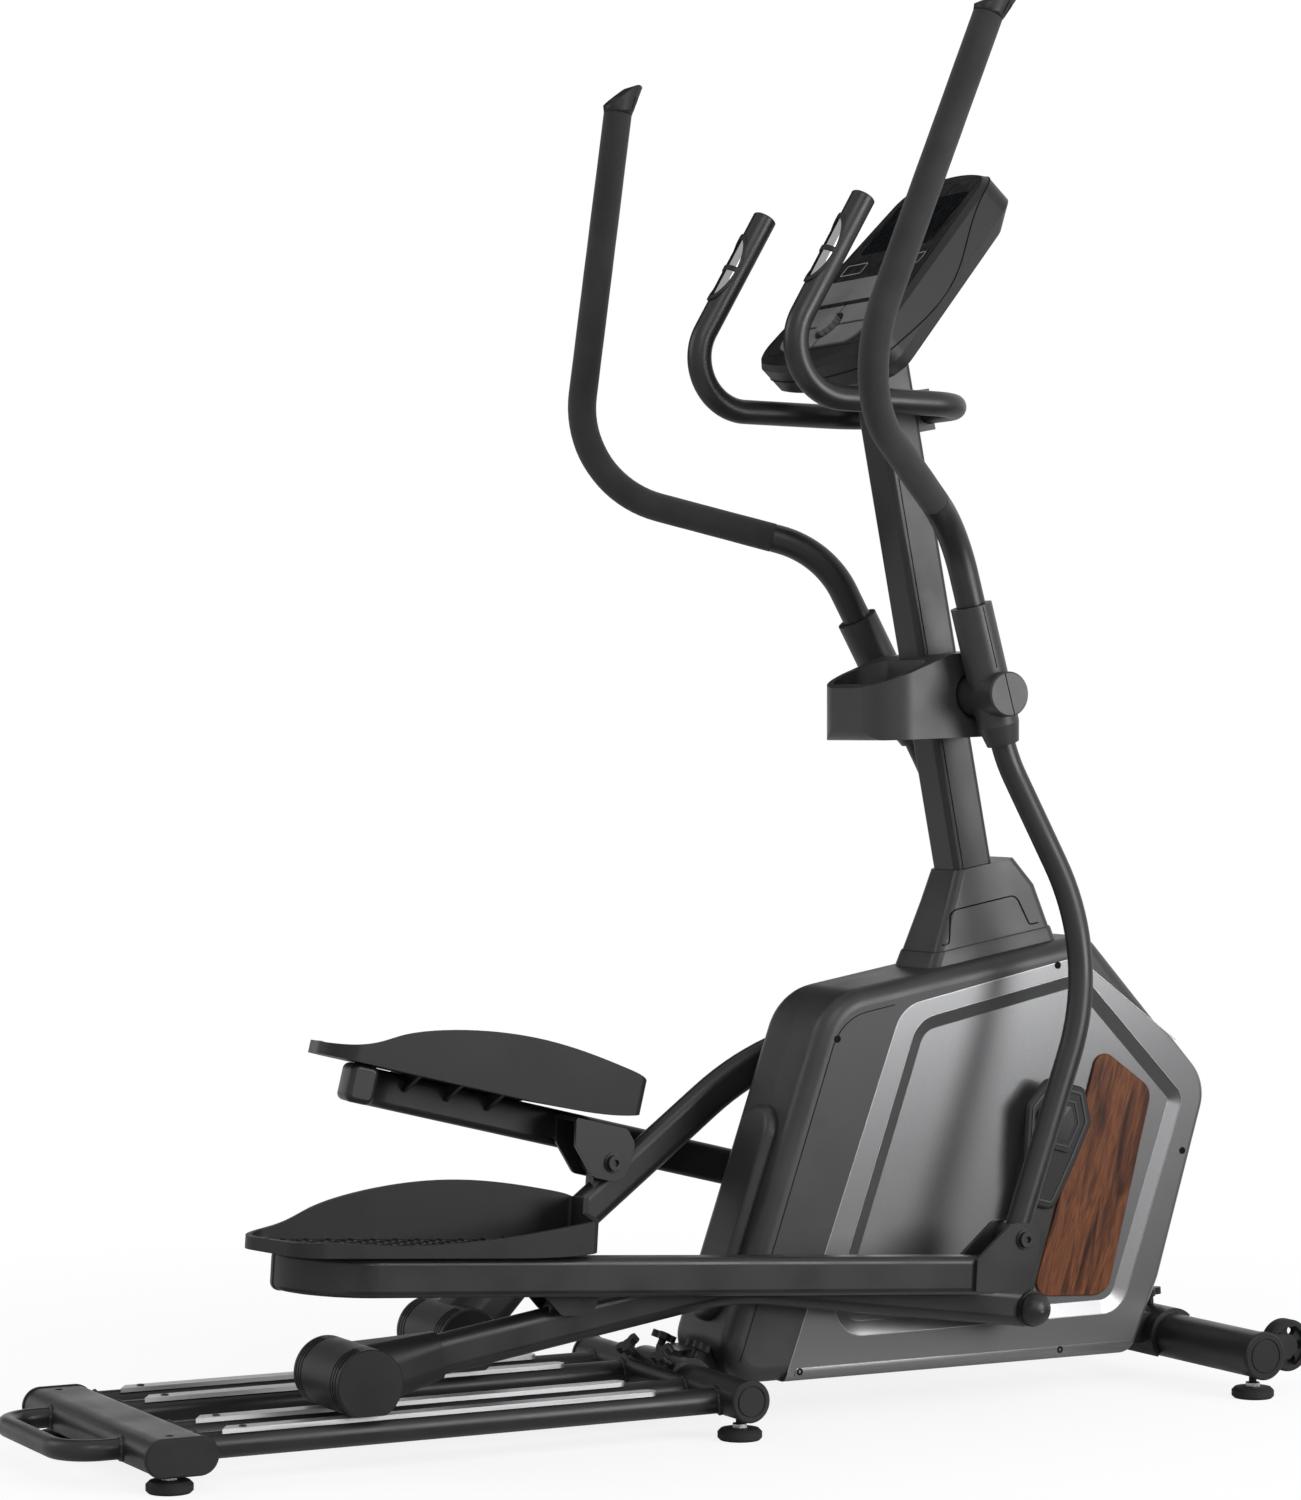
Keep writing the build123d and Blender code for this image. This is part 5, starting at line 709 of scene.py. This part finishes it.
def make_foot_nuts():
    """Zinc nuts on the levelling feet, seen under the stabilisers."""
    low, top, across = FOOT_NUT
    for row in frame["joints"]:
        if not row["name"].startswith("foot_"):
            continue
        middle = JOINT[row["name"]]
        place = Matrix.Translation((middle.x, middle.y, 0))
        loops = []
        for level, shrink in ((low, 0), (top - NUT_CHAMFER_HEIGHT, 0), (top, NUT_CHAMFER)):
            size = (across - shrink) / math.cos(math.pi / 6)
            loops.append(ring_at(place, [size] * 6, level))
        name = row["name"].replace("foot_", "foot_nut_").replace("_turn", "")
        piece(name, row["child"], [loops_mesh(loops)], "steel")


def vent(axle, y):
    """One near-black strip of painted shade over a roller shroud's curve, where a slot is."""
    loops = []
    for k in range(VENT_STEPS + 1):
        turn = math.radians(VENT_FIRST + VENT_SPAN * k / VENT_STEPS)
        points = []
        for across, out in oblong(*VENT_SECTION):
            reach = SHROUD_RADIUS + out
            spot = (axle.x + reach * math.cos(turn), y + across, axle.z + reach * math.sin(turn))
            points.append(Vector(spot))
        loops.append(points)
    return loops_mesh(loops)


def make_vents():
    """Dark slots over the upper rear of the roller shrouds, as near-black strips of painted shade in the grooves.
    """
    for side, sign in SIDES.items():
        axle = JOINT[f"rollers_{side}_spin"]
        places = [sign * (ROLLER_PLANE + end * reach) for end in (-1, 1) for reach in VENTS]
        slots = [vent(axle, y) for y in places]
        piece(f"shroud_vents_{side}", f"roller_link_{side}", slots, material=SHADOW_LINE)


# Footplates


def pedal_place(side):
    """The pedal arm's own frame: x along its tube, y outward, z up."""
    foot, pivot = JOINT[f"pedal_{side}_turn"], JOINT[f"roller_arm_{side}_turn"]
    reach = foot - pivot
    angle = math.atan2(reach.z, reach.x) - math.asin((PEDAL_DROP + PEDAL_RISE) / PEDAL_LINK)
    turn = Matrix.Translation(pivot) @ Matrix.Rotation(-angle, 4, "Y")
    return turn @ Matrix.Translation((0, 0, PEDAL_DROP)) @ Matrix.Scale(SIDES[side], 4, (0, 1, 0))


def tread_height(x):
    """Height of the footplate's floor: level, then rising at the toe."""
    share = max(0, (x - FOOT_TOE) / (FOOT_FRONT - FOOT_TOE))
    return FOOT_FLOOR + FOOT_TOE_RISE * share**1.9


def stud(x, y, wide, long, high, place):
    """One raised bar of the tread, with sloping sides."""
    loops = []
    for level, shrink in ((-0.0005, 0), (high * 0.6, 0.0003), (high, 0.0011)):
        half_x, half_y = wide / 2 - shrink, long / 2 - shrink
        corners = oblong(half_x, -half_y, half_y)
        loops.append([place @ Vector((x + a, y + b, tread_height(x + a) + level)) for a, b in corners])
    return loops_mesh(loops)


def make_treads():
    """Staggered bars on each footplate's floor."""
    for side in SIDES:
        place = pedal_place(side)
        bars = []
        for row in range(TREAD_ROWS):
            x = TREAD_REAR + row * TREAD_ROW_STEP
            for column in range(TREAD_COLUMNS):
                y = TREAD_INNER + column * TREAD_COLUMN_STEP + (TREAD_STAGGER if row % 2 else 0)
                rear = FOOT_REAR + (y - FOOT_INNER) * FOOT_REAR_SLOPE + TREAD_MARGIN
                if y <= TREAD_OUTER and x >= rear:
                    bars.append(stud(x, y, *STUD, place))
        piece(f"tread_{side}", f"pedal_link_{side}", bars, "black_plastic", sharp=30)


# Grips


def swing_place(side):
    """The handle's own frame: origin on the swing axle, y outward, -z towards the lower pivot."""
    axle, foot = JOINT[f"swing_{side}_turn"], JOINT[f"pedal_{side}_turn"]
    angle = math.atan2(foot.x - axle.x, axle.z - foot.z)
    turn = Matrix.Translation(axle) @ Matrix.Rotation(-angle, 4, "Y")
    return turn @ Matrix.Scale(SIDES[side], 4, (0, 1, 0))


def grip_path():
    """Middle line of the foam, close-set at its ends where the lips round over."""
    start = KNEE + (GRIP_BEND - KNEE).normalized() * GRIP_START_PAST_KNEE
    back, ahead = (start - GRIP_BEND).normalized(), (GRIP_TOP - GRIP_BEND).normalized()
    first, arc, last = bend(GRIP_BEND, back, ahead, BEND_RADIUS, 20)
    path = [start - back * d for d in FOAM_LIPS]
    path += [start.lerp(first, k / 12) for k in range(1, 12)]
    path += arc
    path += [last.lerp(GRIP_TOP, k / 40) for k in range(1, 40)]
    path += [GRIP_TOP - ahead * d for d in reversed(FOAM_LIPS)]
    return path


def sleeve_path():
    """Middle line of the handle tube from its hub to the foam."""
    ahead = (GRIP_BEND - KNEE).normalized()
    first, arc, _ = bend(KNEE, -HUB_RISE, ahead, KNEE_RADIUS, 16)
    low = KNEE - HUB_RISE * (KNEE_AT - HUB_TOP - SLEEVE_HUB_GAP)
    end = KNEE + ahead * (GRIP_START_PAST_KNEE - SLEEVE_FOAM_GAP)
    return [low.lerp(first, k / 4) for k in range(4)] + arc + [end]


def cap_slots(place):
    """Dark slots on the flared front of a grip's end cap, as near-black strips of painted shade."""
    ahead = (GRIP_TOP - GRIP_BEND).normalized()
    across = Vector((1, 0, -ahead.x / ahead.z)).normalized()
    seat = place @ plane(GRIP_TOP, across, ahead.cross(across))
    widest, low, top = CAP_SLOT_SECTION
    slots = []
    for degrees in CAP_SLOT_TURNS:
        turn = math.radians(degrees)
        loops = []
        for k in range(CAP_SLOT_STEPS + 1):
            height = CAP_SLOT_LOW + CAP_SLOT_LENGTH * k / CAP_SLOT_STEPS
            long = GRIP_RADIUS + CAP_FLARE * height / CAP_FLARE_AT
            wide = GRIP_RADIUS - CAP_NARROWING * height / CAP_FLARE_AT
            spot = Vector((long * math.cos(turn), wide * math.sin(turn), height))
            out = Vector((math.cos(turn) / long, math.sin(turn) / wide, 0)).normalized()
            side = Vector((-out.y, out.x, 0))
            half = widest * min(1, 0.35 + min(k, CAP_SLOT_STEPS - k))
            loops.append([seat @ (spot + side * a + out * b) for a, b in oblong(half, low, top)])
        slots.append(loops_mesh(loops))
    return slots


def hub_lines(place):
    """Parting line of the hub's two halves, over its end and up its sleeve, as a near-black strip of painted
    shade.
    """
    across = Vector((HUB_RISE.z, 0, -HUB_RISE.x))
    end = HUB_BOSS_RADIUS - HUB_LINE_MARGIN
    runs = ((HUB_END, -end, end),
            (SWING_PLANE + HUB_SLEEVE_RADIUS, HUB_BOSS_RADIUS + HUB_LINE_START, HUB_TOP - HUB_LINE_MARGIN))
    lines = []
    for level, low, top in runs:
        loops = []
        for out in HUB_LINE_LEVELS:
            lift = Vector((0, level + out, 0))
            corners = oblong(HUB_LINE_HALF, low, top)
            loops.append([place @ (across * a + HUB_RISE * b + lift) for a, b in corners])
        lines.append(loops_mesh(loops))
    return lines


def tube_mesh(path, outer, inner, count):
    """Closed tube from its outer and inner radii along a path."""
    loops = swept_loops(path, outer, count) + swept_loops(path, inner, count)[::-1]
    return loops_mesh(loops, closed=True)


def foam_sleeve(path):
    """Closed sleeve with rounded lips and the slight unevenness of foam."""
    runs = [0.0]
    for a, b in zip(path, path[1:]):
        runs.append(runs[-1] + (b - a).length)
    outer = []
    for point, run in zip(path, runs):
        short = max(0, FOAM_LIP - min(run, runs[-1] - run))
        uneven = FOAM_UNEVEN * noise.noise(point * 28) if short == 0 else 0
        outer.append(GRIP_RADIUS - FOAM_LIP + math.sqrt(FOAM_LIP**2 - short**2) + uneven)
    return tube_mesh(path, outer, [HANDLE_TUBE_RADIUS + 0.0002] * len(path), 40)


def loose_part(node, rank):
    """One loose part of a CAD node as a new mesh, ranked by height from the top."""
    work = bmesh.new()
    work.from_mesh(NODES[node].data)
    bmesh.ops.remove_doubles(work, verts=work.verts, dist=1e-6)
    left, parts = set(work.verts), []
    while left:
        todo, found = [left.pop()], set()
        while todo:
            vert = todo.pop()
            found.add(vert)
            near = {e.other_vert(vert) for e in vert.link_edges} & left
            left -= near
            todo += near
        parts.append(found)
    parts.sort(key=lambda part: -max(v.co.z for v in part))
    gone = [v for part in parts for v in part if part is not parts[rank]]
    bmesh.ops.delete(work, geom=gone, context="VERTS")
    mesh = bpy.data.meshes.new("work")
    work.to_mesh(mesh)
    work.free()
    return mesh


def make_grips():
    """Foam sleeves and end caps in place of the plain CAD grips, and the lines and sleeves below."""
    path = grip_path()
    for side in SIDES:
        place = swing_place(side)
        sleeve = foam_sleeve([place @ p for p in path])
        foam = piece(f"grip_foam_{side}", f"swing_{side}", [sleeve], "foam", sharp=60)
        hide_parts(f"grip_{side}")
        piece(f"grip_cap_{side}", f"swing_{side}", [loose_part(f"grip_{side}", 0)], "black_plastic")
        piece(f"grip_cap_slots_{side}", f"swing_{side}", cap_slots(place), material=SHADOW_LINE)
        piece(f"hub_lines_{side}", f"swing_{side}", hub_lines(place), material=SHADOW_LINE)
        tube = [place @ p for p in sleeve_path()]
        outer, inner = GRIP_RADIUS - 0.0001, HANDLE_TUBE_RADIUS + 0.0001
        sleeve = tube_mesh(tube, [outer] * len(tube), [inner] * len(tube), 36)
        piece(f"handle_sleeve_{side}", f"swing_{side}", [sleeve], "black_metal", sharp=60)


# Pulse grips


def pulse_place(sign):
    """Place on a pulse grip's end: z along the grip, y towards the user's palm."""
    end = Vector((PULSE_END.x, sign * PULSE_END.y, PULSE_END.z))
    ahead = (PULSE_END - PULSE_KNEE).normalized()
    palm = Vector((-ahead.z, 0, ahead.x))
    return Matrix.Translation(end) @ Matrix((palm.cross(ahead), palm, ahead)).transposed().to_4x4()


def oval(half_along, half_turn, cut=None, steps=40):
    """Oval on the grip's skin as (arc length, distance along), whole or one half beyond a cut."""
    half_arc = half_turn * PULSE_RADIUS
    if cut is None:
        return [(half_arc * math.cos(t), half_along * math.sin(t)) for t in circle(steps)]
    sign = math.copysign(1, cut)
    high = half_along * 0.999
    limit = math.asin(abs(cut) / half_along)
    span = [limit + (math.pi - 2 * limit) * k / steps for k in range(steps + 1)]
    return [(half_arc * math.cos(t), sign * min(high, half_along * math.sin(t))) for t in span]


def wrapped(mesh, place):
    """Bend a flat mesh (arc length, distance along, height) round the grip."""
    work = bmesh.new()
    work.from_mesh(mesh)
    bpy.data.meshes.remove(mesh)
    for k in range(-WRAP_CUTS, WRAP_CUTS + 1):
        geometry = list(work.verts) + list(work.edges) + list(work.faces)
        bmesh.ops.bisect_plane(work, geom=geometry, plane_co=(k * WRAP_STEP, 0, 0), plane_no=(1, 0, 0))
    for vert in work.verts:
        turn = vert.co.x / PULSE_RADIUS
        reach = PULSE_RADIUS + vert.co.z
        spot = (math.sin(turn) * reach, math.cos(turn) * reach, vert.co.y - PULSE_MIDDLE)
        vert.co = place @ Vector(spot)
    result = bpy.data.meshes.new("work")
    work.to_mesh(result)
    work.free()
    return result


def pulse_oval(margin=(0, 0), cut=None):
    """Oval inside the frame's outline by a margin along the grip and round it."""
    return oval(PULSE_HALF_ALONG - margin[0], PULSE_HALF_TURN - margin[1], cut)


def make_pulse_details():
    """Contact plates in their oval frames, and the plugs in the bar's ends."""
    windows = [pulse_oval(PULSE_WINDOW_MARGIN, cut) for cut in PULSE_CUTS]
    lift = Matrix.Translation((0, 0, PULSE_LIFT))
    plates, frames, plugs = [], [], []
    for sign in SIDES.values():
        place = pulse_place(sign)
        contact = plate([pulse_oval(PULSE_PLATE_MARGIN)], lift, PULSE_PLATE_HEIGHT)
        plates.append(wrapped(contact, place))
        rim = plate([pulse_oval()] + windows, lift, PULSE_FRAME_HEIGHT, PULSE_FRAME_EDGE)
        frames.append(wrapped(rim, place))
        plugs.append(lathe(PULSE_PLUG, place))
    chrome = piece("pulse_plates", "frame", plates, "chrome")
    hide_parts("pulse_sensors")
    piece("pulse_frames", "frame", frames, "black_plastic")
    piece("pulse_plugs", "frame", plugs, "black_plastic")


# Console


def face_half(v):
    """Half the width of the console's face at a height on it."""
    share = (v - CONSOLE_LOW) / (CONSOLE_TOP - CONSOLE_LOW)
    return CONSOLE_LOW_HALF + (CONSOLE_TOP_HALF - CONSOLE_LOW_HALF) * share


def face_panel(low, top, margin, radius):
    """Corners of a panel that follows the face's sides."""
    half_low, half_top = face_half(low) - margin, face_half(top) - margin
    corners = ((-half_low, low), (half_low, low), (half_top, top), (-half_top, top))
    return tuple((u, v, radius) for u, v in corners)


def longest_chain(ahead_of):
    """Places along the longest chain of neighbours."""
    chains = []
    left = sorted(ahead_of, key=lambda v: (len(ahead_of[v]), v.index))
    while left:
        chain = [left.pop(0)]
        while True:
            ahead = [v for v in ahead_of[chain[-1]] if v in left]
            if not ahead:
                break
            left.remove(ahead[0])
            chain.append(ahead[0])
        chains.append([v.co.copy() for v in chain])
    return max(chains, key=lambda chain: sum((a - b).length for a, b in zip(chain, chain[1:])))


def shell_seam():
    """Near-black line of painted shade along the outer seam between the console's two shells."""
    work = bmesh.new()
    work.from_mesh(NODES["console_front"].data)
    bmesh.ops.remove_doubles(work, verts=work.verts, dist=1e-6)
    other = skin_tree("console_back")

    def close(spot):
        return other.find_nearest(spot)[3] < SEAM_GAP

    near = {v for v in work.verts if close(v.co)}
    mating = {f for f in work.faces if near.issuperset(f.verts) and close(f.calc_center_median())}
    rim = {}
    for edge in work.edges:
        if sum(face in mating for face in edge.link_faces) == 1:
            for vert in edge.verts:
                rim.setdefault(vert, []).append(edge.other_vert(vert))
    path = longest_chain(rim)
    work.free()
    path.append(path[0])
    return loops_mesh(swept_loops(path, [SEAM_RADIUS] * len(path), 8))


def make_console():
    """Overlay sheet with its bar and slim windows, and near-black lines of painted shade along the shells' seam
    and round the face.
    """
    face = plane(CONSOLE_ORIGIN, (0, -1, 0), (math.cos(CONSOLE_TILT), 0, math.sin(CONSOLE_TILT)))
    overlay = rounded_corners(face_panel(*OVERLAY_PANEL))
    opening = rounded_corners(box_corners(*WINDOW))
    sheet = plate([overlay, opening], face, OVERLAY_HEIGHT)
    piece("console_overlay", "frame", [sheet], "window", OVERLAY)
    above = face @ Matrix.Translation((0, 0, OVERLAY_HEIGHT))
    bar = plate([rounded_corners(face_panel(*BAR_PANEL))], above, BAR_HEIGHT)
    piece("console_bar", "frame", [bar], "grey_plastic")
    width, height = WINDOW_LINE
    lines = [plate(ring_line(box_corners(*slim), width), above, height) for slim in SLIM_WINDOWS]
    piece("console_window_lines", "frame", lines, material=PRINT)
    piece("console_seam", "frame", [shell_seam()], material=SHADOW_LINE)
    width, height = FACE_LINE
    line = plate(ring_line(face_panel(*FACE_LINE_PANEL), width), face, height)
    piece("console_face_line", "frame", [line], material=SHADOW_LINE)


# Studio: lamps as (name, place, aim, size, power), dark cards as (name, place, aim, width, height)
LAMPS = (
    ("key", (-1.4, -3.8, 4.0), (0.1, 0, 0.8), 2.2, 66),
    ("side", (2.15, -3.7, 1.4), (0.3, 0, 0.8), 1.9, 150),
    ("rim", (-3.4, 2.6, 3.0), (0.0, 0, 0.8), 2.0, 34),
)
FLAGS = (
    ("flag_front", (2.45, -1.75, 0.10), (0.5, 0, 0.10), 1.7, 0.80),
    ("flag_floor", (1.30, -2.75, 0.004), (1.30, -2.75, 1), 3.8, 4.9),
    ("flag_rear", (-1.6, 3.6, 1.65), (0.2, 0, 0.5), 2.4, 1.1),
    ("flag_back", (0.1, 2.6, 2.6), (0.3, 0, 1.5), 3.6, 2.6),
)
FLOOR_SIZE = 60
CAMERA_SPOT, CAMERA_TURN = (-2.4265, -4.5333, 0.870), math.radians(-28)
CAMERA_LENS, CAMERA_SHIFT = 97.44, -20 / 1500


def point_at(obj, spot, aim, axis):
    """Put an object at a spot with one of its axes towards another."""
    obj.location = spot
    obj.rotation_euler = (Vector(aim) - Vector(spot)).to_track_quat(axis, "Y").to_euler()


def card_mesh(wide, high):
    """Flat rectangle about the origin."""
    return mesh_from([(u, v, 0) for u, v in oblong(wide / 2, -high / 2, high / 2)], [(0, 1, 2, 3)])


def softbox(name, spot, aim, size, power):
    """Square area lamp aimed at a point."""
    lamp = bpy.data.lights.new(name, "AREA")
    lamp.size = size
    lamp.energy = power
    point_at(new_object(name, lamp), spot, aim, "-Z")


def flag(name, spot, aim, wide, high):
    """Dark card that only reflections see, as a studio uses to shape black and metal."""
    mesh = card_mesh(wide, high)
    mesh.materials.append(principled(name, (0.01, 0.01, 0.01), 0.9, Specular_IOR_Level=0.0))
    card = new_object(name, mesh)
    point_at(card, spot, aim, "Z")
    card.visible_camera = False
    card.visible_diffuse = False
    card.visible_shadow = False


def make_floor():
    """Pale floor that keeps the shadow near the object and runs out to the white background."""
    mesh = card_mesh(FLOOR_SIZE, FLOOR_SIZE)
    mesh.materials.append(floor_finish())
    floor = new_object("floor", mesh)


def floor_finish():
    """Paint that turns to plain white away from the middle, where it is seen directly."""
    mat = bpy.data.materials.new("floor")
    mat.use_nodes = True
    mat.node_tree.nodes.clear()
    paint = add(mat, "BsdfDiffuse", Color=(0.90, 0.90, 0.90, 1))
    white = add(mat, "Emission", Color=(1, 1, 1, 1), Strength=1.0)
    coords = add(mat, "TexCoord")
    length = add(mat, "VectorMath")
    length.operation = "LENGTH"
    link(mat, coords, length, 0, "Object")
    fade = add(mat, "MapRange", From_Min=0.4, From_Max=2.0, To_Min=0.82, To_Max=1.0)
    link(mat, length, fade, "Value", "Value")
    seen = add(mat, "LightPath")
    both = add(mat, "Math")
    both.operation = "MULTIPLY"
    link(mat, fade, both, 0)
    link(mat, seen, both, 1, "Is Camera Ray")
    mixed = add(mat, "MixShader")
    link(mat, both, mixed, "Fac")
    link(mat, paint, mixed, 1)
    link(mat, white, mixed, 2)
    link(mat, mixed, add(mat, "OutputMaterial"), "Surface")
    return mat


def make_world():
    """White where it is seen or mirrored, and a plain grey light elsewhere."""
    world = bpy.data.worlds.new("studio")
    bpy.context.scene.world = world
    world.use_nodes = True
    world.node_tree.nodes.clear()
    dim = add(world, "Background", Color=(1, 1, 1, 1), Strength=0.55)
    white = add(world, "Background", Color=(1, 1, 1, 1), Strength=1.0)
    rays = add(world, "LightPath")
    seen, output = rays, "Is Camera Ray"
    for other in ("Is Glossy Ray", "Is Transmission Ray"):
        either = add(world, "Math")
        either.operation = "MAXIMUM"
        link(world, seen, either, 0, output)
        link(world, rays, either, 1, other)
        seen, output = either, 0
    mixed = add(world, "MixShader")
    link(world, seen, mixed, "Fac", output)
    link(world, dim, mixed, 1)
    link(world, white, mixed, 2)
    link(world, mixed, add(world, "OutputWorld"), "Surface")


def make_camera():
    """Level camera at the photograph's viewing angle; the shift lifts the horizon a little."""
    data = bpy.data.cameras.new("camera")
    data.lens = CAMERA_LENS
    data.shift_y = CAMERA_SHIFT
    camera = new_object("camera", data)
    camera.location = CAMERA_SPOT
    camera.rotation_euler = (math.radians(90), 0, CAMERA_TURN)
    bpy.context.scene.camera = camera


dress_cad_nodes()
make_housing_details()
make_boot_details()
make_crank_details()
make_rail_details()
make_foot_nuts()
make_vents()
make_treads()
make_grips()
make_pulse_details()
make_console()
make_floor()
make_world()
make_camera()
for row in LAMPS:
    softbox(*row)
for row in FLAGS:
    flag(*row)
bpy.context.scene.view_settings.view_transform = "Standard"
